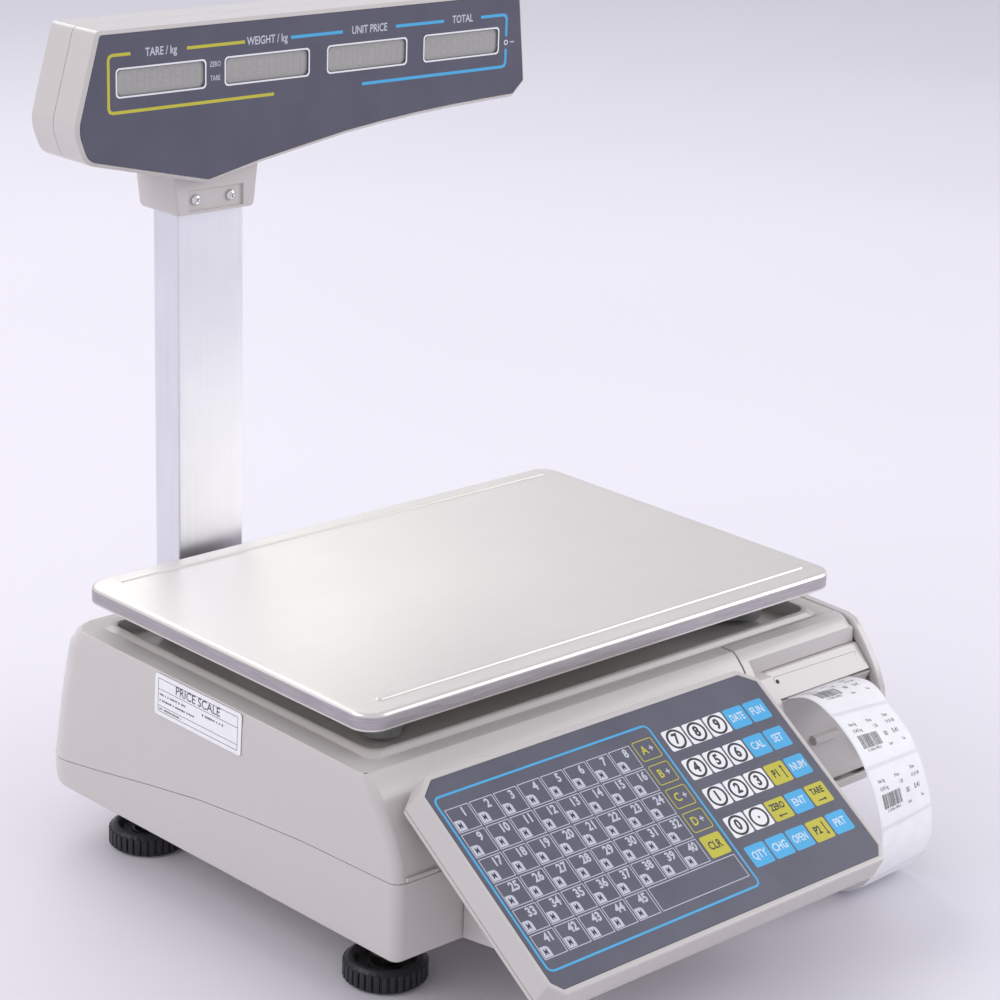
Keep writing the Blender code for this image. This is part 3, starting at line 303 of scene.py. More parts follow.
def studio_floor():
    """Plain pale paint with a very slight grain."""
    look = Look("studio_floor")
    wash = look.noise(700.0, 1.0)
    grain = look.noise(2.0, 3.0)
    look.set(Base_Color=look.mix(look.spread(wash, 0, 1), FLOOR_COLOUR, shade(FLOOR_COLOUR, 1.03)))
    look.set(Roughness=look.spread(grain, 0.55, 0.7), Normal=look.bump(grain, 0.02, 0.15))
    return look.material


CASE_COLOUR = (0.600, 0.566, 0.548)
FLOOR_COLOUR = (0.755, 0.735, 0.790)
INK_COLOURS = {
    "blue": (0.060, 0.420, 0.760), "yellow": (0.560, 0.515, 0.038), "pale": (0.560, 0.575, 0.660),
    "white": (0.870, 0.870, 0.890), "dark": (0.030, 0.030, 0.040), "pale_white": (0.62, 0.74, 0.88),
}

# Painted shade: the platter's skirt is painted darker than its top, standing for the darker reflection on its
# sides, from just over its hem to just under its shoulder
SKIRT_SHADE_DARK, SKIRT_SHADE_LIGHT = (0.37, 0.345, 0.365), (0.53, 0.50, 0.52)
HEM, CREST = 0.9 * MM, 3.0 * MM
SKIRT_SHADE_BAND = (PLATTER_LOW.z + HEM, PLATTER_HIGH.z - CREST)

LOOKS = {
    "case_plastic": moulded("case_plastic_look", CASE_COLOUR, 0.20, 0.6, 0.004, 0.012, 0.015),
    "panel_dark": film("keyboard_film_look", (0.100, 0.101, 0.138)),
    "stainless_steel": brushed(
        "platter_steel_look", (0.80, 0.775, 0.735), 0.36, "X", cloudy=0.06, skirt=SKIRT_SHADE_BAND
    ),
    "plated_steel": plated("plated_steel_look", (0.62, 0.62, 0.63), 0.34),
    "brushed_aluminium": brushed("post_aluminium_look", (0.80, 0.80, 0.84), 0.40, "Z", 0.35),
    "cast_aluminium": cast("cast_aluminium_look", (0.50, 0.51, 0.52)),
    "black_plastic": moulded("black_plastic_look", (0.018, 0.018, 0.020), 0.42, 0.5, 0.02, 0.2),
    "black_rubber": moulded("black_rubber_look", (0.022, 0.022, 0.023), 0.70, 0.3, 0.02, 0.2),
    "white_nylon": moulded("white_nylon_look", (0.74, 0.72, 0.66), 0.45),
    "brass": brushed("brass_look", (0.80, 0.58, 0.26), 0.28, "X", 0.2),
    "label_paper": paper("label_paper_look", (0.90, 0.89, 0.91)),
    "circuit_board": board("circuit_board_look", (0.02, 0.14, 0.05)),
    "level_vial": fluid("level_vial_look", (0.45, 0.78, 0.12)),
    "rocker_red": moulded("rocker_red_look", (0.50, 0.02, 0.02), 0.28, 0.5, 0.005),
}
HEAD_FILM = film("head_film_look", (0.088, 0.087, 0.128))
LINER = paper("liner_paper_look", (0.84, 0.84, 0.88), 0.10)
INKS = {name: ink(f"{name}_ink", colour) for name, colour in INK_COLOURS.items()}
INKS["print"] = ink("thermal_print", (0.060, 0.060, 0.070), 0.5, 0.3)
GLASS = display_glass("display_glass_look", (0.375, 0.366, 0.352))
GHOST = display_glass("display_segment_look", (0.352, 0.344, 0.332))
BLACKENED = plated("blackened_steel_look", (0.060, 0.060, 0.062), 0.42)
BRIGHT = brushed("bright_screw_look", (0.78, 0.78, 0.79), 0.16, "X", 0.3, 0.002)
LAMP = moulded("lamp_lens_look", (0.030, 0.026, 0.026), 0.12, 0.4, 0.004, 0.3)

record_slots = {s["node"]: s["material_slot"] for s in frame["record"]["subparts"]}
for node_name, node_object in frame["nodes"].items():
    look = LOOKS[record_slots[node_name]]
    if node_name.startswith("head_") and node_name.endswith("_overlay"):
        look = HEAD_FILM
    elif node_name.startswith("foot_stud"):
        look = BLACKENED
    node_object.data.materials.clear()
    node_object.data.materials.append(look)


# Meshes --------------------------------

WELD = 0.00001
FLAT = math.radians(0.3)

# Heights over which the upper case's edges belong to its rim and to the ridge round the well, and the
# widths of their rounding
RIM_LEVEL, RIDGE_LEVEL = 146.25, 149.0
RIM_ROUNDING, RIDGE_ROUNDING = 0.7, 1.15


def place_piece(name, mesh, material, body, smooth_angle=35.0, matrix=TO_FRAME):
    """Turns a bmesh in millimetres into a piece that rides on a body."""
    bmesh.ops.transform(mesh, matrix=matrix, verts=mesh.verts)
    bmesh.ops.recalc_face_normals(mesh, faces=mesh.faces)
    data = bpy.data.meshes.new(name)
    mesh.to_mesh(data)
    mesh.free()
    return finish_piece(name, data, material, body, smooth_angle)


def finish_piece(name, data, material, body, smooth_angle=35.0):
    data.materials.append(material)
    data.shade_smooth()
    data.set_sharp_from_angle(angle=math.radians(smooth_angle))
    piece = bpy.data.objects.new(name, data)
    bpy.context.scene.collection.objects.link(piece)
    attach(piece, body)
    return piece


def weight_normals(piece):
    modifier = piece.modifiers.new("even_shading", "WEIGHTED_NORMAL")
    modifier.keep_sharp = True
    modifier.weight = 80


def body_of(node):
    return frame["nodes"][node]["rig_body"]


def welded(node):
    """The node's own shape as a clean bmesh in metres: welded, with no needless edges across flat faces.

    A face with more than four corners is cut into triangles, because a bevel tears one with a hole."""
    mesh = bmesh.new()
    mesh.from_mesh(frame["nodes"][node].data)
    bmesh.ops.remove_doubles(mesh, verts=mesh.verts, dist=WELD)
    bmesh.ops.dissolve_limit(mesh, angle_limit=FLAT, verts=mesh.verts, edges=mesh.edges)
    bmesh.ops.triangulate(mesh, faces=[f for f in mesh.faces if len(f.verts) > 4])
    return mesh


def weigh_edges(mesh, width, angle):
    """Bevel weights: the rim and the ridge round the well are rounder than the other edges."""
    weights = mesh.edges.layers.float.new("bevel_weight_edge")
    for edge in mesh.edges:
        if len(edge.link_faces) != 2 or edge.calc_face_angle(0.0) < angle:
            continue
        heights = [vert.co.z / MM for vert in edge.verts]
        edge[weights] = width / RIDGE_ROUNDING
        if min(heights) > RIM_LEVEL:
            edge[weights] = 1.0 if min(heights) > RIDGE_LEVEL else RIM_ROUNDING / RIDGE_ROUNDING


def soften(piece, width, segments=3, angle=30.0, limit="ANGLE", clamp=True):
    """Rounds a piece's edges: those sharper than angle, or those with a bevel weight."""
    bevel = piece.modifiers.new("soft_edges", "BEVEL")
    bevel.width = width * MM
    bevel.segments = segments
    bevel.limit_method = limit
    bevel.angle_limit = math.radians(angle)
    bevel.use_clamp_overlap = clamp
    weight_normals(piece)


def rounded_copy(node, width, segments=2, angle=30.0, smooth_angle=40.0):
    """Stands for a CAD node: the same solid with its edges rounded as a mould or a press leaves them."""
    mesh = welded(node)
    weighted = node == "upper_case"
    if weighted:
        weigh_edges(mesh, width, math.radians(angle))
    data = bpy.data.meshes.new(f"{node}_finished")
    mesh.to_mesh(data)
    mesh.free()
    material = frame["nodes"][node].data.materials[0]
    piece = finish_piece(f"{node}_finished", data, material, body_of(node), smooth_angle)
    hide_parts(node)
    if weighted:
        soften(piece, RIDGE_ROUNDING, segments, angle, "WEIGHT", clamp=False)
    else:
        soften(piece, width, segments, angle, clamp=False)


def rounded_rectangle(x0, x1, y0, y1, radius, steps=6):
    """Counter-clockwise outline of a rectangle with rounded corners."""
    outline = []
    corners = ((x1, y0, -0.5), (x1, y1, 0.0), (x0, y1, 0.5), (x0, y0, 1.0))
    for x, y, start in corners:
        cx = x - radius if x == x1 else x + radius
        cy = y - radius if y == y1 else y + radius
        for k in range(steps + 1):
            angle = math.pi * (start + 0.5 * k / steps)
            outline.append(Vector((cx + radius * math.cos(angle), cy + radius * math.sin(angle))))
    return outline


def skin(mesh, rings, closed=False):
    """Quads between each ring of vertices and the next, and from the last to the first if closed."""
    follow = rings[1:] + rings[:1] if closed else rings[1:]
    for first, second in zip(rings, follow):
        for i in range(len(first)):
            j = (i + 1) % len(first)
            mesh.faces.new((first[i], first[j], second[j], second[i]))


def prism(mesh, outline, low, high):
    """A closed plate with this outline, from one height to another."""
    bottom = [mesh.verts.new((p[0], p[1], low)) for p in outline]
    top = [mesh.verts.new((p[0], p[1], high)) for p in outline]
    mesh.faces.new(bottom[::-1])
    mesh.faces.new(top)
    skin(mesh, [bottom, top])


def frame_prism(mesh, outer, inner, low, high):
    """A closed ring between two outlines of equally many points."""
    rings = []
    for outline, height in ((outer, low), (outer, high), (inner, high), (inner, low)):
        rings.append([mesh.verts.new((p[0], p[1], height)) for p in outline])
    skin(mesh, rings, closed=True)


def stroke(mesh, points, width, low, high):
    """A line of constant width through these points, mitred where it turns."""
    sides = ([], [])
    for i, point in enumerate(points):
        here = Vector(point)
        before = (here - Vector(points[i - 1])).normalized() if i else None
        after = (Vector(points[i + 1]) - here).normalized() if i < len(points) - 1 else None
        before, after = before or after, after or before
        along = (before + after).normalized()
        normal = Vector((-along.y, along.x))
        reach = width / 2 / max(0.3, along.dot(before))
        sides[0].append(here + normal * reach)
        sides[1].append(here - normal * reach)
    prism(mesh, sides[1] + sides[0][::-1], low, high)


def circle(x, y, radius, sides=36):
    turns = [2 * math.pi * k / sides for k in range(sides)]
    return [Vector((x + radius * math.cos(a), y + radius * math.sin(a))) for a in turns]


def letters(body, size, width=0.86, weight=0.012):
    """A word as a thin closed plate, centred on the origin and one unit thick, in millimetres."""
    curve = bpy.data.curves.new("letters", "FONT")
    curve.body = body
    curve.size = size
    curve.align_x = "CENTER"
    curve.align_y = "CENTER"
    curve.resolution_u = 3
    curve.offset = weight * size
    curve.extrude = 0.5
    holder = bpy.data.objects.new("letters", curve)
    bpy.context.scene.collection.objects.link(holder)
    graph = bpy.context.evaluated_depsgraph_get()
    sheet = bpy.data.meshes.new_from_object(holder.evaluated_get(graph))
    mesh = bmesh.new()
    mesh.from_mesh(sheet)
    bmesh.ops.remove_doubles(mesh, verts=mesh.verts, dist=0.002)
    bmesh.ops.dissolve_degenerate(mesh, dist=0.002, edges=mesh.edges)
    bmesh.ops.scale(mesh, vec=(width, 1.0, 1.0), verts=mesh.verts)
    bpy.data.objects.remove(holder)
    bpy.data.curves.remove(curve)
    bpy.data.meshes.remove(sheet)
    return mesh


def pour(part, mesh):
    """Adds one bmesh to another and frees it."""
    data = bpy.data.meshes.new("part")
    part.to_mesh(data)
    part.free()
    mesh.from_mesh(data)
    bpy.data.meshes.remove(data)


class Printing:
    """Inks on one flat face. Each ink and level of it is collected into one piece.

    matrix takes millimetres on the face (x right, y up, z out) to the frame."""

    LEVELS = ((0.004, 0.05), (0.054, 0.085))

    def __init__(self, name, matrix, body, slot):
        self.name, self.matrix, self.body, self.slot = name, matrix, body, slot
        self.meshes = {}

    def sheet(self, ink_name, level):
        return self.meshes.setdefault((ink_name, level), bmesh.new())

    def plate(self, ink_name, outline, level=0):
        prism(self.sheet(ink_name, level), outline, *self.LEVELS[level])

    def ring(self, ink_name, outer, inner, level=0):
        frame_prism(self.sheet(ink_name, level), outer, inner, *self.LEVELS[level])

    def outline(self, ink_name, x0, x1, y0, y1, radius, width, level=0):
        outer = rounded_rectangle(x0, x1, y0, y1, radius, 4)
        inner_radius = max(radius - width, 0.05)
        inner = rounded_rectangle(x0 + width, x1 - width, y0 + width, y1 - width, inner_radius, 4)
        self.ring(ink_name, outer, inner, level)

    def line(self, ink_name, points, width, level=0):
        stroke(self.sheet(ink_name, level), points, width, *self.LEVELS[level])

    def word(self, ink_name, body, x, y, size, level=0, **style):
        low, high = self.LEVELS[level]
        glyphs = letters(body, size, **style)
        move = Matrix.Translation((x, y, (low + high) / 2)) @ Matrix.Diagonal((1, 1, high - low, 1))
        bmesh.ops.transform(glyphs, matrix=move, verts=glyphs.verts)
        pour(glyphs, self.sheet(ink_name, level))

    def finish(self):
        for (ink_name, level), mesh in sorted(self.meshes.items()):
            name = f"{self.name}_{ink_name}" + ("_top" if level else "")
            piece = place_piece(name, mesh, INKS[ink_name], self.body, 30.0, self.matrix)
            piece["printed"] = True


def face_frame(corner, right, up):
    """Matrix from millimetres on a flat face to the frame, for a corner in platter millimetres."""
    right, up = Vector(right).normalized(), Vector(up).normalized()
    turn = Matrix((right, up, right.cross(up))).transposed().to_4x4()
    return TO_FRAME @ Matrix.Translation(corner) @ turn


def printed_face(node, outward):
    """The node's largest face towards outward: a matrix from millimetres on it, and its width and height.

    The matrix's origin is the face's bottom left corner, with x to the right and y up."""
    data = frame["nodes"][node].data
    faces = [face for face in data.polygons if face.normal.dot(Vector(outward)) > 0.5]
    normal = max(faces, key=lambda face: face.area).normal.copy()
    up = (Vector((0, 0, 1)) - normal * normal.z).normalized()
    right = up.cross(normal)
    points = [vertex.co for vertex in data.vertices]
    level = max(p.dot(normal) for p in points)
    across, along = [p.dot(right) for p in points], [p.dot(up) for p in points]
    origin = normal * level + right * min(across) + up * min(along)
    turn = Matrix((right, up, normal)).transposed().to_4x4()
    matrix = Matrix.Translation(origin) @ turn @ Matrix.Scale(MM, 4)
    return matrix, (max(across) - min(across)) / MM, (max(along) - min(along)) / MM


# Platter -------------------------------

RIB_HALF_WIDTH, RIB_RISE = 3.1, 1.09
RIBS = ((-117.3, -174.5, 182.0), (122.5, -177.5, 182.0))


def build_platter():
    """Pressed steel plate: rolled rim, soft shoulder, thin sheet below and two long beads."""
    low, high = box_mm("platter")
    half_w, half_d = high.x, high.y
    top = high.z - 1.1
    skirt = low.z
    corner, sheet = 14.0, 1.2
    shoulder = 2.8
    mesh = bmesh.new()

    def level(inset, height):
        radius = max(corner - inset, 1.0)
        w, d = half_w - inset, half_d - inset
        outline = rounded_rectangle(-w, w, -d, d, radius, 14)
        return [mesh.verts.new((p.x, p.y, height)) for p in outline]

    outside = [level(0.35, skirt), level(0.0, skirt + 0.5)]
    outside.append(level(0.0, top - shoulder))
    for k in range(1, 8):
        turn = 0.5 * math.pi * k / 7
        outside.append(level(shoulder * (1 - math.cos(turn)), top - shoulder * (1 - math.sin(turn))))
    outside.append(level(shoulder + 1.2, top))
    inside = [level(sheet, skirt + 0.4), level(sheet, top - shoulder)]
    for k in range(1, 6):
        turn = 0.5 * math.pi * k / 5
        reach = shoulder - sheet
        inside.append(level(sheet + reach * (1 - math.cos(turn)), top - sheet - reach * (1 - math.sin(turn))))
    skin(mesh, inside[::-1] + outside)
    mesh.faces.new(inside[-1])

    beads = []
    for y, x0, x1 in RIBS:
        rings = []
        for share in range(0, 9):
            inset = RIB_HALF_WIDTH * share / 9
            rise = 0.5 - 0.5 * math.cos(math.pi * min(1.0, share / 4))
            across = RIB_HALF_WIDTH - inset
            outline = rounded_rectangle(x0 + inset, x1 - inset, y - across, y + across, across * 0.98, 6)
            rings.append([mesh.verts.new((p.x, p.y, top + RIB_RISE * rise)) for p in outline])
        skin(mesh, rings)
        mesh.faces.new(rings[-1])
        beads.append(rings[0])
    loops = [outside[-1], *beads]
    edges = []
    for loop in loops:
        for i in range(len(loop)):
            pair = (loop[i], loop[(i + 1) % len(loop)])
            edges.append(mesh.edges.get(pair) or mesh.edges.new(pair))
    bmesh.ops.triangle_fill(mesh, edges=edges, use_beauty=True, use_dissolve=False)
    piece = place_piece("platter_pressed", mesh, LOOKS["stainless_steel"], "platter", 50.0)
    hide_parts("platter")
    weight_normals(piece)


# Levelling feet ------------------------

KNURLS = 34


def build_foot(corner):
    """Knurled wheel: flat-topped ridges, chamfered shoulder, dished top and a metal bush in its hub."""
    node = f"foot_wheel_{corner}"
    low, high = box_mm(node)
    cx, cy = (low.x + high.x) / 2, (low.y + high.y) / 2
    radius, height = (high.x - low.x) / 2, high.z
    mesh = bmesh.new()
    wave = (0.0, 0.0, 0.9, 1.0, 1.0, 1.0, 1.0, 0.9)
    steps_per_ridge = len(wave)
    profile = [
        (5.4, 0.0, 0), (radius - 3.6, 0.0, 0), (radius - 2.6, 0.4, 0), (radius - 1.9, 1.4, 0.3),
        (radius - 1.3, 2.4, 1), (radius - 1.3, height * 0.76, 1), (radius - 1.3, height * 0.8, 0.8),
        (radius - 1.5, height * 0.84, 0), (radius - 2.6, height * 0.93, 0), (radius - 3.8, height * 0.985, 0),
        (radius - 4.8, height, 0), (radius - 6.0, height - 0.8, 0), (radius - 7.0, height - 3.2, 0),
        (radius - 9.0, height - 5.6, 0), (11.0, height - 6.4, 0),
        (10.4, height - 6.2, 0), (10.0, height - 4.6, 0), (8.8, height - 4.2, 0), (5.4, height - 4.2, 0),
    ]
    rings = []
    for r, z, knurl in profile:
        ring = []
        for k in range(KNURLS * steps_per_ridge):
            angle = 2 * math.pi * k / (KNURLS * steps_per_ridge)
            reach = r + 1.3 * knurl * wave[k % steps_per_ridge]
            ring.append(mesh.verts.new((cx + reach * math.cos(angle), cy + reach * math.sin(angle), z)))
        rings.append(ring)
    skin(mesh, rings, closed=True)
    body = body_of(node)
    piece = place_piece(f"{node}_knurled", mesh, LOOKS["black_plastic"], body, 40.0)
    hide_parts(node)
    weight_normals(piece)
    bush = bmesh.new()
    frame_prism(bush, circle(cx, cy, 6.4), circle(cx, cy, 5.45), height - 4.1, height - 3.2)
    place_piece(f"{node}_bush", bush, LOOKS["plated_steel"], body)


# Keyboard ------------------------------


KEY_ROWS = (
    ("7", "8", "9", "DATE", "FUN"),
    ("4", "5", "6", "CAL", "SET"),
    ("1", "2", "3", "up", "NUM"),
    ("0", ".", "zero", "ENT", "tare"),
    ("QTY", "CHG", "OPEN", "down", "PRT"),
)

# Caption, whether the arrow stands beside it or under it, and the arrow's direction in degrees
ARROWS = {
    "up": ("P1", True, 90), "down": ("P2", True, -90),
    "zero": ("ZERO", False, 180), "tare": ("TARE", False, 0),
}

# Sizes on the keyboard's film, which is FILM_WIDTH across before it is fitted to the frame's
FILM_WIDTH = 271.3
MEMORY_KEYS, MEMORY_COLUMNS = 45, 8
MEMORY_CELL, MEMORY_PITCH = (17.1, 16.2), (18.2, 17.3)
TAG_SIZE = (6.0, 6.8)
SIDE_COLUMN, SIDE_PITCH = (152.5, 19.2), 17.6
SIDE_KEY = (16.3, 14.2)
MAIN_CORNER, MAIN_PITCH = (177.3, 19.0), (17.8, 21.6)
MAIN_KEY = (16.4, 14.6)


def arrow(printing, ink_name, x, y, length, degrees):
    turn = Matrix.Rotation(math.radians(degrees), 2)
    half = length / 2
    shape = [(-half, -0.4), (half - 1.8, -0.4), (half - 1.8, -1.3), (half, 0.0), (half - 1.8, 1.3)]
    shape += [(half - 1.8, 0.4), (-half, 0.4)]
    points = [turn @ Vector(p) + Vector((x, y)) for p in shape]
    printing.plate(ink_name, points, 1)


def print_key(printing, ink_name, mark, x, y, w, h):
    """A solid key block with its corners rounded, and its mark in the middle."""
    printing.plate(ink_name, rounded_rectangle(x, x + w, y - h, y, 1.4, 4))
    cx, cy = x + w / 2, y - h / 2
    if mark in ARROWS:
        caption, beside, degrees = ARROWS[mark]
        if beside:
            printing.word("dark", caption, cx - 2.0, cy, 7.4, 1, width=0.74, weight=0.03)
            arrow(printing, "dark", cx + 4.4, cy, 9.6, degrees)
        else:
            printing.word("dark", caption, cx, cy + 2.0, 6.1, 1, width=0.74, weight=0.03)
            arrow(printing, "dark", cx, cy - 4.2, 7.0, degrees)
    elif ink_name == "white":
        printing.ring("dark", circle(cx, cy, 6.9), circle(cx, cy, 5.35), 1)
        if mark == ".":
            printing.plate("dark", circle(cx, cy, 0.8, 16), 1)
        else:
            printing.word("dark", mark, cx, cy, 9.6, 1, weight=0.042)
    else:
        mark_ink = "pale_white" if ink_name == "blue" else "dark"
        width = 0.62 if len(mark) > 3 else 0.76
        printing.word(mark_ink, mark, cx, cy, 7.4, 1, width=width, weight=0.02)


def print_memory_key(printing, number, x, y, w, h):
    """An outlined cell with its number, and a tag with a clipped corner for the memory it recalls."""
    printing.outline("pale", x, x + w, y - h, y, 0.3, 0.5)
    printing.word("pale", str(number), x + w * 0.66, y - 4.4, 7.8, weight=0.034)
    left, low = x + 0.9, y - h + 0.9
    right, high = left + TAG_SIZE[0], low + TAG_SIZE[1]
    clipped = [(right, high - 2.2), (right - 0.65, high - 0.65), (right - 2.2, high)]
    printing.plate("pale", [(left, low), (right, low), *clipped, (left, high)])
    printing.word("dark", "M", left + TAG_SIZE[0] * 0.47, low + TAG_SIZE[1] * 0.46, 5.4, 1, width=0.66)


def build_keyboard():
    """Printed film: numbered memory keys, a column of letters, and the block of digits and functions."""
    matrix, width, height = printed_face("keyboard_overlay", (0, 0, 1))
    unit = width / FILM_WIDTH
    printing = Printing("keys", matrix @ Matrix.Translation((0, height, 0)), "base", "panel_dark")

    def place(u, v):
        return u * unit, -v * unit

    x0, y1 = place(2.8, 10.5)
    x1, y0 = place(172.5, 130.5)
    printing.outline("blue", x0, x1, y0, y1, 4.6, 1.35)
    for key in range(MEMORY_KEYS):
        row, column = divmod(key, MEMORY_COLUMNS)
        x, y = place(5.7 + MEMORY_PITCH[0] * column, 19.9 + MEMORY_PITCH[1] * row)
        print_memory_key(printing, key + 1, x, y, MEMORY_CELL[0] * unit, MEMORY_CELL[1] * unit)
    x0, y1 = place(97.0, 106.4)
    x1, y0 = place(168.6, 122.6)
    printing.outline("pale", x0, x1, y0, y1, 0.3, 0.5)

    w, h = SIDE_KEY[0] * unit, SIDE_KEY[1] * unit
    for row, mark in enumerate("ABCD"):
        x, y = place(SIDE_COLUMN[0], SIDE_COLUMN[1] + SIDE_PITCH * row)
        printing.outline("yellow", x, x + w, y - h, y, 1.6, 0.55)
        printing.word("yellow", mark, x + w * 0.36, y - h / 2, 8.0, weight=0.022)
        printing.word("pale", "+", x + w * 0.72, y - h / 2, 7.0, weight=0.022)
    x, y = place(SIDE_COLUMN[0], SIDE_COLUMN[1] + SIDE_PITCH * 4)
    print_key(printing, "yellow", "CLR", x, y, w, 15.0 * unit)

    for row, marks in enumerate(KEY_ROWS):
        for column, mark in enumerate(marks):
            x, y = place(MAIN_CORNER[0] + MAIN_PITCH[0] * column, MAIN_CORNER[1] + MAIN_PITCH[1] * row)
            ink_name = "white" if mark in "0123456789." else "yellow" if mark in ARROWS else "blue"
            print_key(printing, ink_name, mark, x, y, MAIN_KEY[0] * unit, MAIN_KEY[1] * unit)
    printing.finish()


# Display head --------------------------

LCD_COUNT, LCD_PITCH, LCD_LEFT, LCD_WIDTH = 4, 78.7, -170.6, 64.4
LCD_TOP, LCD_HEIGHT = 489.0, 16.8
LINE_WIDTH = 1.9
YELLOW_LOOP = [
    (-160.4, 497.2), (-173.2, 497.2), (-175.3, 496.4), (-176.1, 494.4), (-176.1, 466.4), (-175.3, 464.4),
    (-173.2, 463.6), (-54.8, 463.6),
]
BLUE_LOOP_TOP = [(113.8, 496.8), (133.4, 496.8), (135.6, 496.0), (136.4, 494.0), (136.4, 482.8)]
BLUE_LOOP_LOW = [(136.4, 474.6), (136.4, 466.0), (135.6, 464.0), (133.4, 463.2), (14.8, 463.2)]
STRAIGHTS = (("yellow", -120.0, -77.1, 497.0), ("blue", -42.0, -1.2, 496.8), ("blue", 41.8, 82.0, 496.8))
CAPTIONS = (("TARE / kg", -138.6), ("WEIGHT / kg", -60.0), ("UNIT PRICE", 20.3), ("TOTAL", 98.0))


def window_ends(i, side):
    """Left and right end of display window i, seen from its own side."""
    start = side * (LCD_LEFT + i * LCD_PITCH)
    return sorted((start, start + side * LCD_WIDTH))


def print_head(name, side):
    """Printing on one side of the display. side is 1 for the operator's face and -1 for the customer's."""
    low, high = box_mm(f"head_{name}_overlay")
    face = low.y if side > 0 else high.y
    matrix = face_frame((0.0, face, 0.0), (side, 0, 0), (0, 0, 1))
    printing = Printing(f"head_{name}", matrix, "base", "panel_dark")

    def turned(points):
        return [(side * x, z) for x, z in points]

    printing.line("yellow", turned(YELLOW_LOOP), LINE_WIDTH)
    printing.line("blue", turned(BLUE_LOOP_TOP), LINE_WIDTH)
    printing.line("blue", turned(BLUE_LOOP_LOW), LINE_WIDTH)
    for ink_name, start, end, z in STRAIGHTS:
        printing.line(ink_name, turned([(start, z), (end, z)]), LINE_WIDTH)
    for caption, x in CAPTIONS:
        printing.word("pale", caption, side * x, 496.9, 6.9, width=0.80, weight=0.016)
    for mark, z in (("ZERO", 485.6), ("TARE", 477.3)):
        printing.word("pale", mark, side * -99.2, z, 4.4, width=0.72)
    printing.ring("white", circle(side * 136.4, 478.8, 1.7, 24), circle(side * 136.4, 478.8, 1.1, 24))
    printing.line("pale", turned([(140.0, 478.8), (143.6, 478.8)]), 0.8)
    for i in range(LCD_COUNT):
        x0, x1 = window_ends(i, side)
        outer = rounded_rectangle(x0 - 0.4, x1 + 0.4, LCD_TOP - LCD_HEIGHT - 0.4, LCD_TOP + 0.4, 2.8)
        inner = rounded_rectangle(x0 + 0.6, x1 - 0.6, LCD_TOP - LCD_HEIGHT + 0.6, LCD_TOP - 0.6, 2.2)
        printing.ring("white", outer, inner)
    printing.finish()
    build_displays(name, side, face)


# Each segment of a digit: its place across and up, and whether it lies flat
SEGMENTS = (
    (0, 1, True), (0, 0, True), (0, -1, True),
    (-1, 0.5, False), (1, 0.5, False), (-1, -0.5, False), (1, -0.5, False),
)
DIGITS, DIGIT_PITCH = 6, 9.2
SEGMENT_REACH = (3.0, 5.6)
FLAT_SEGMENT, TALL_SEGMENT = (2.2, 0.42), (0.42, 2.4)


def build_displays(name, side, face):
    """Four panes of unlit display glass behind the windows, with the ghost of their digits."""
    panes, ghosts = bmesh.new(), bmesh.new()
    for i in range(LCD_COUNT):
        x0, x1 = window_ends(i, side)
        pane = rounded_rectangle(x0 + 0.1, x1 - 0.1, LCD_TOP - LCD_HEIGHT + 0.1, LCD_TOP - 0.1, 2.0, 3)
        prism(panes, pane, -2.3, -1.2)
        middle = LCD_TOP - LCD_HEIGHT / 2
        for digit in range(DIGITS):
            cx = (x0 + x1) / 2 + (digit - (DIGITS - 1) / 2) * DIGIT_PITCH
            for sx, sz, flat in SEGMENTS:
                half_w, half_h = FLAT_SEGMENT if flat else TALL_SEGMENT
                px, pz = cx + sx * SEGMENT_REACH[0], middle + sz * SEGMENT_REACH[1]
                shape = [(px - half_w, pz - half_h), (px + half_w, pz - half_h)]
                shape += [(px + half_w, pz + half_h), (px - half_w, pz + half_h)]
                prism(ghosts, shape, -1.19, -1.16)
    matrix = face_frame((0.0, face, 0.0), (side, 0, 0), (0, 0, 1))
    place_piece(f"display_glass_{name}", panes, GLASS, "base", matrix=matrix)
    place_piece(f"display_digits_{name}", ghosts, GHOST, "base", matrix=matrix)


# Neck screws ---------------------------


SHANK_RADIUS, SHANK_END = 1.4, 18.6
HEAD_THICKNESS = 2.0
HEAD_DOME = ((1.0, 1.5), (0.93, 0.95), (0.78, 0.5), (0.58, 0.2), (0.3, 0.03), (0.1, 0.0))


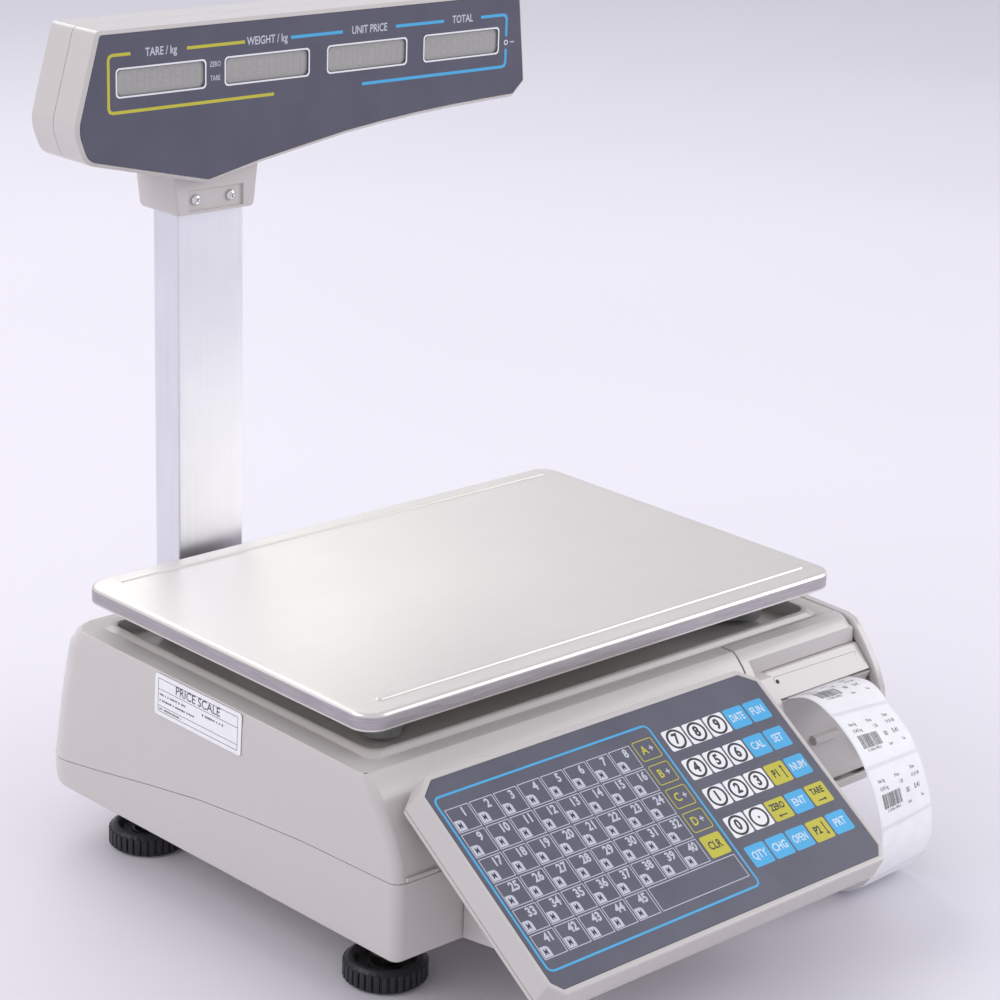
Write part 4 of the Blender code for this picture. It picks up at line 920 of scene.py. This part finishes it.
def build_screw(side):
    """Pan-head screw with a cross recess, facing the operator."""
    node = f"neck_screw_{side}"
    low, high = box_mm(node)
    cx, cz = (low.x + high.x) / 2, (low.z + high.z) / 2
    radius = (high.x - low.x) / 2
    mesh = bmesh.new()
    profile = [(SHANK_RADIUS, SHANK_END), (SHANK_RADIUS, HEAD_THICKNESS), (radius, HEAD_THICKNESS)]
    profile += [(radius * share, depth) for share, depth in HEAD_DOME]
    sides = 32
    rings = []
    for r, y in profile:
        ring = []
        for k in range(sides):
            angle = 2 * math.pi * k / sides
            ring.append(mesh.verts.new((cx + r * math.cos(angle), low.y + y, cz + r * math.sin(angle))))
        rings.append(ring)
    skin(mesh, rings)
    mesh.faces.new(rings[0][::-1])
    mesh.faces.new(rings[-1])
    screw = place_piece(f"{node}_head", mesh, BRIGHT, "base")
    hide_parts(node)
    cross = bmesh.new()
    turn = 0.6 if side == "left" else 0.15
    for extra in (0.0, 0.5 * math.pi):
        angle = turn + extra
        along = Vector((math.cos(angle), 0, math.sin(angle)))
        across = Vector((-math.sin(angle), 0, math.cos(angle)))
        start = Vector((cx, low.y, cz))
        rings = []
        for depth, reach, half in ((-0.5, 0.66 * radius, 0.42), (1.3, 0.32 * radius, 0.3)):
            centre = start + Vector((0, depth, 0))
            rings.append([
                cross.verts.new(centre + along * a * reach + across * b * half)
                for a, b in ((-1, -1), (1, -1), (1, 1), (-1, 1))
            ])
        skin(cross, rings)
        cross.faces.new(rings[0][::-1])
        cross.faces.new(rings[1])
    bmesh.ops.transform(cross, matrix=TO_FRAME, verts=cross.verts)
    bmesh.ops.recalc_face_normals(cross, faces=cross.faces)
    cutter_data = bpy.data.meshes.new("cross_cutter")
    cross.to_mesh(cutter_data)
    cross.free()
    apply_cut(screw, cutter_data)


def apply_cut(piece, cutter_data):
    """Cuts one mesh out of a piece and leaves a plain mesh behind."""
    cutter = bpy.data.objects.new("cutter", cutter_data)
    bpy.context.scene.collection.objects.link(cutter)
    modifier = piece.modifiers.new("recess", "BOOLEAN")
    modifier.operation = "DIFFERENCE"
    modifier.object = cutter
    modifier.solver = "EXACT"
    modifier.use_self = True
    graph = bpy.context.evaluated_depsgraph_get()
    graph.update()
    piece.data = bpy.data.meshes.new_from_object(piece.evaluated_get(graph))
    piece.modifiers.clear()
    bpy.data.objects.remove(cutter)
    bpy.data.meshes.remove(cutter_data)


# Labels --------------------------------


def label_path():
    """Centre line (y, z) of the CAD label strip in millimetres, from the slot to the loose end."""
    points = {}
    for vertex in frame["nodes"]["label_strip"].data.vertices:
        spot = (vertex.co - MIDDLE) / MM
        points[(round(spot.y, 2), round(spot.z, 2))] = Vector((spot.y, spot.z))
    points = list(points.values())
    middles = []
    while points:
        here = points.pop()
        partner = min(points, key=lambda p: (p - here).length)
        points.remove(partner)
        middles.append((here + partner) / 2)
    current = max(middles, key=lambda p: p.x + p.y)
    path = [current]
    middles.remove(current)
    while middles:
        current = min(middles, key=lambda p: (p - current).length)
        middles.remove(current)
        path.append(current)
    return path


def smooth_path(points, per_span=7):
    """Catmull-Rom curve through the points, as (distance along, point, outward normal) stations."""
    ends = [points[0] * 2 - points[1], *points, points[-1] * 2 - points[-2]]
    curve = []
    for a, b, c, d in zip(ends, ends[1:], ends[2:], ends[3:]):
        for k in range(per_span):
            t = k / per_span
            spot = b * 2 + (c - a) * t + (a * 2 - b * 5 + c * 4 - d) * t * t + (b * 3 - a - c * 3 + d) * t**3
            curve.append(spot / 2)
    curve.append(points[-1])
    stations, travelled = [], 0.0
    for i, spot in enumerate(curve):
        along = (curve[min(i + 1, len(curve) - 1)] - curve[max(i - 1, 0)]).normalized()
        travelled += (spot - curve[i - 1]).length if i else 0.0
        stations.append((travelled, spot, Vector((along.y, -along.x))))
    return stations


class Strip:
    """The curved strip as a surface: x across it, s along it from the slot, and lift off its face."""

    def __init__(self):
        self.stations = smooth_path(label_path())
        low, high = box_mm("label_strip")
        self.left, self.right = low.x, high.x
        self.length = self.stations[-1][0]

    def at(self, x, s, lift):
        for (s0, p0, n0), (s1, p1, n1) in zip(self.stations, self.stations[1:]):
            if s <= s1:
                break
        share = min(1.0, max(0.0, (s - s0) / (s1 - s0)))
        spot, normal = p0.lerp(p1, share), n0.lerp(n1, share).normalized()
        across = 2 * (x - self.left) / (self.right - self.left) - 1
        hanging = max(0.0, min(1.0, (s - 10.0) / 40.0, (self.length - s - 20.0) / 60.0))
        out = spot + normal * (lift - LABEL_CUP * across**2 - LABEL_TWIST * across * hanging)
        return Vector((x, out.x, max(out.y, 0.15 + lift)))

    def patch(self, mesh, x0, x1, s0, s1, low, high, columns=1, rows=1):
        """A thin closed patch that follows the strip."""
        grid = []
        for lift in (low, high):
            layer = []
            for r in range(rows + 1):
                s = s0 + (s1 - s0) * r / rows
                places = [x0 + (x1 - x0) * c / columns for c in range(columns + 1)]
                layer.append([mesh.verts.new(self.at(x, s, lift)) for x in places])
            grid.append(layer)
        for layer, flip in ((grid[0], True), (grid[1], False)):
            for r in range(rows):
                for c in range(columns):
                    quad = (layer[r][c], layer[r][c + 1], layer[r + 1][c + 1], layer[r + 1][c])
                    mesh.faces.new(quad[::-1] if flip else quad)
        rim = [(0, c) for c in range(columns)] + [(r, columns) for r in range(rows)]
        rim += [(rows, c) for c in range(columns, 0, -1)] + [(r, 0) for r in range(rows, 0, -1)]
        for (r0, c0), (r1, c1) in zip(rim, rim[1:] + rim[:1]):
            mesh.faces.new((grid[0][r0][c0], grid[0][r1][c1], grid[1][r1][c1], grid[1][r0][c0]))


LABEL_GAPS = (5.0, 46.0, 84.0, 121.0, 158.0)
LABEL_CUP, LABEL_TWIST = 0.35, 4.6


def build_labels():
    """Backing paper with die-cut labels on it, the first three printed with a bar code and short lines of
    text.
    """
    strip = Strip()
    liner = bmesh.new()
    strip.patch(liner, strip.left, strip.right, 0.0, strip.length, -0.06, 0.06, 12, 110)
    piece = place_piece("label_liner", liner, LINER, "base", 60.0)
    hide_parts("label_strip")
    stickers, marks = bmesh.new(), bmesh.new()
    luck = random.Random(7)
    ends = [*LABEL_GAPS, strip.length - 2.0]
    for start, end in zip(ends, ends[1:]):
        strip.patch(stickers, strip.left + 1.2, strip.right - 1.2, start + 1.2, end - 1.2, 0.07, 0.15, 12, 22)
    for start, end in zip(ends[:3], ends[1:4]):
        print_label(strip, marks, start, luck)
    place_piece("label_stickers", stickers, LOOKS["label_paper"], "base", 60.0)
    place_piece("label_print", marks, INKS["print"], "base", 60.0)


def print_label(strip, mesh, start, luck):
    """One label's printing: captions and figures in two rows, a bar code and two sums beside it."""
    low, high = 0.155, 0.18
    left = strip.left + 8.0

    def word(body, x, s, size, **style):
        glyphs = letters(body, size, **style)
        for vertex in glyphs.verts:
            lift = high if vertex.co.z > 0 else low
            vertex.co = strip.at(left + x + vertex.co.x, start + s - vertex.co.y, lift)
        pour(glyphs, mesh)

    for body, x, s, size in LABEL_WORDS:
        word(body, x, s, size, width=0.8)
    x = left
    while x < left + 20.0:
        width = luck.choice((0.28, 0.28, 0.5, 0.8))
        strip.patch(mesh, x, x + width, start + 17.6, start + 26.4, low, high, 1, 8)
        x += width + luck.choice((0.3, 0.3, 0.55))
    word("0 123456 789012", 10.0, 28.0, 2.4)


LABEL_WORDS = (
    ("Net kg", 3.4, 9.4, 3.2), ("Price", 21.0, 9.4, 3.2), ("Date", 39.0, 8.4, 3.2),
    ("0.345 kg", 4.4, 14.2, 3.2), ("1.20", 23.4, 14.2, 3.2), ("01.01.00", 40.4, 13.4, 3.2),
    ("00", 28.4, 21.0, 4.6), ("0.41", 39.4, 20.6, 5.0), ("Sum", 28.0, 28.2, 2.8), ("Tax", 43.0, 27.6, 2.8),
)


# Rating plate --------------------------


def build_rating_plate():
    """Blank rating label: rounded film with a ruled border, and bars where lines of data would stand."""
    matrix, width, height = printed_face("rating_label", (-1, 0, 0))
    plate = bmesh.new()
    prism(plate, rounded_rectangle(0.0, width, 0.0, height, 2.2), -0.28, 0.0)
    piece = place_piece("rating_plate", plate, LOOKS["label_paper"], "base", matrix=matrix)
    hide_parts("rating_label")
    printing = Printing("rating", matrix, "base", "label_paper")
    printing.outline("dark", 3.2, width - 3.2, 2.6, height - 2.6, 0.2, 0.32)
    for y in (height * 0.64, height * 0.24):
        printing.line("dark", [(3.4, y), (width - 3.4, y)], 0.3)
    luck = random.Random(3)
    printing.word("print", "PRICE SCALE", width / 2, height * 0.775, 7.6, width=1.0, weight=0.006)
    rows = (
        (4.8, 30.0, 0.52, 1.4, 1.6), (46.0, 66.0, 0.52, 1.4, 1.6),
        (4.8, 38.0, 0.38, 1.3, 1.5), (4.8, 26.0, 0.17, 1.3, 1.5),
    )
    for x, end, share, tall, step in rows:
        y = height * share
        while x < end:
            long = luck.uniform(0.35, 0.8) * step
            printing.line("print", [(x, y), (x + long, y)], tall * luck.uniform(0.7, 1.0))
            x += long + luck.choice((0.25, 0.25, 0.25, 1.0)) * step
    printing.finish()


# Small case details --------------------


def build_case_details():
    """Latch tab on the front parting line and the bubble in the level."""
    tab = bmesh.new()
    low, high = box_mm("lower_case")
    front = low.y
    outline = rounded_rectangle(-198.4, -175.0, 92.7, 95.3, 1.1, 5)
    matrix = face_frame((0.0, front + 0.3, 0.0), (1, 0, 0), (0, 0, 1))
    prism(tab, outline, 0.0, 1.5)
    piece = place_piece("front_tab", tab, LOOKS["case_plastic"], "base", matrix=matrix)
    soften(piece, 0.5)

    low, high = box_mm("bubble_level")
    cx, cy = (low.x + high.x) / 2, (low.y + high.y) / 2
    ring = bmesh.new()
    frame_prism(ring, circle(cx, cy, 3.6), circle(cx, cy, 3.2), high.z + 0.02, high.z + 0.08)
    place_piece("level_ring", ring, INKS["dark"], "base")


def build_bezel_marks():
    """Dark ink lines on the sloping block over the label slot: painted shade for its fine engraved border and
    for the hole round its lamp; and the lamp itself.
    """
    low, high = box_mm("printer_bezel")
    slope = (0, high.y - low.y - BEZEL_DEPTH, high.z - low.z)
    matrix = face_frame((0.0, low.y + 0.1, low.z), (1, 0, 0), slope)
    printing = Printing("bezel", matrix, "base", "case_plastic")
    # Painted shade: dark lines stand for the engraved groove and for the hole round the lamp
    printing.line("dark", BEZEL_GROOVE_SHADE, 0.22)
    printing.ring("dark", circle(*LAMP_PLACE, 1.75), circle(*LAMP_PLACE, 1.3))
    printing.finish()
    lamp = bmesh.new()
    bmesh.ops.create_uvsphere(lamp, u_segments=24, v_segments=14, radius=1.28)
    flatten = Matrix.Translation((*LAMP_PLACE, 0.05)) @ Matrix.Diagonal((1.0, 1.0, 0.45, 1.0))
    bmesh.ops.transform(lamp, matrix=flatten, verts=lamp.verts)
    place_piece("status_lamp", lamp, LAMP, "base", matrix=matrix)


BEZEL_DEPTH = 3.2
# Painted shade: the path of the dark line that stands for the engraved groove on the block's face
BEZEL_GROOVE_SHADE = [(191.0, 0.8), (197.4, 13.4), (120.3, 14.6), (117.0, 2.8)]
LAMP_PLACE = (122.1, 11.0)


# Studio --------------------------------


def area_light(name, place, target, size, power, colour=(1.0, 1.0, 1.0)):
    data = bpy.data.lights.new(name, "AREA")
    data.shape = "RECTANGLE"
    data.size, data.size_y = size
    data.energy = power
    data.color = colour
    light = bpy.data.objects.new(name, data)
    light.location = place
    light.rotation_euler = (Vector(target) - Vector(place)).to_track_quat("-Z", "Y").to_euler()
    bpy.context.scene.collection.objects.link(light)


def build_studio():
    floor = bmesh.new()
    bmesh.ops.create_grid(floor, x_segments=24, y_segments=24, size=9.0)
    data = bpy.data.meshes.new("studio_floor")
    floor.to_mesh(data)
    floor.free()
    data.materials.append(studio_floor())
    piece = bpy.data.objects.new("studio_floor", data)
    bpy.context.scene.collection.objects.link(piece)
    world = bpy.data.worlds.new("studio")
    world.use_nodes = True
    background = world.node_tree.nodes["Background"]
    background.inputs["Color"].default_value = (0.93, 0.93, 1.0, 1.0)
    background.inputs["Strength"].default_value = WORLD_STRENGTH
    bpy.context.scene.world = world
    target = (0.0, 0.0, 0.2)
    area_light("key_left", (-2.2, 0.9, 1.9), target, (1.6, 1.6), KEY_POWER, (1.0, 0.98, 0.97))
    area_light("top_back", (0.5, 2.2, 2.2), target, (2.4, 1.2), TOP_POWER)
    area_light("fill_right", (2.3, -1.5, 1.5), target, (1.4, 1.4), FILL_POWER)


WORLD_STRENGTH, KEY_POWER, TOP_POWER, FILL_POWER = 0.77, 21.0, 24.0, 27.0

# Camera: turn about the vertical, height above the horizon, roll, and place in platter millimetres
CAMERA_TURN, CAMERA_RISE, CAMERA_ROLL = -0.77581, 0.34434, 0.04213
CAMERA_PLACE = (-1113.0, -1210.0, 778.0)
CAMERA_SENSOR, CAMERA_LENS, CAMERA_SHIFT = 36.0, 100.85, (-0.0528, 0.0611)


def build_camera():
    ce, se = math.cos(CAMERA_RISE), math.sin(CAMERA_RISE)
    back = Vector((math.sin(CAMERA_TURN) * ce, -math.cos(CAMERA_TURN) * ce, se))
    right = (-back).cross(Vector((0, 0, 1))).normalized()
    up = right.cross(-back)
    cr, sr = math.cos(CAMERA_ROLL), math.sin(CAMERA_ROLL)
    turn = Matrix((right * cr + up * sr, up * cr - right * sr, back)).transposed()
    data = bpy.data.cameras.new("camera")
    data.sensor_width = CAMERA_SENSOR
    data.lens = CAMERA_LENS
    data.shift_x, data.shift_y = CAMERA_SHIFT
    data.clip_end = 50.0
    camera = bpy.data.objects.new("camera", data)
    camera.matrix_world = Matrix.Translation(TO_FRAME @ Vector(CAMERA_PLACE)) @ turn.to_4x4()
    bpy.context.scene.collection.objects.link(camera)
    bpy.context.scene.camera = camera
    bpy.context.scene.view_settings.view_transform = "Standard"



CASE_EDGES = {
    "upper_case": 0.4, "lower_case": 0.4, "printer_front_cover": 0.12, "side_cover": 0.35,
    "printer_bezel": 0.25, "printer_front_panel": 0.3, "head_front_shell": 0.12, "head_rear_shell": 0.12,
    "neck_collar": 0.4, "keyboard_top_shell": 0.5, "keyboard_bottom_shell": 0.45, "post": 0.4,
}
INNER_EDGES = {
    "chassis_plate": 0.4, "printer_frame": 0.25, "side_cover_hinge": 0.2, "load_cell": 0.3,
    "load_cell_block": 0.3, "platter_support": 0.4, "main_board": 0.2, "power_supply": 0.4,
    "data_ports": 0.25, "power_inlet": 0.15, "switch_housing": 0.15, "power_rocker": 0.25,
    "print_head": 0.3, "feed_motor": 0.3,
}
for node_name, edge in {**CASE_EDGES, **INNER_EDGES}.items():
    rounded_copy(node_name, edge, 3 if node_name in CASE_EDGES else 2)

build_platter()
for corner_name in FEET:
    build_foot(corner_name)
build_keyboard()
print_head("front", 1)
print_head("rear", -1)
for screw_side in ("left", "right"):
    build_screw(screw_side)
build_labels()
build_rating_plate()
build_case_details()
build_bezel_marks()
build_studio()
build_camera()
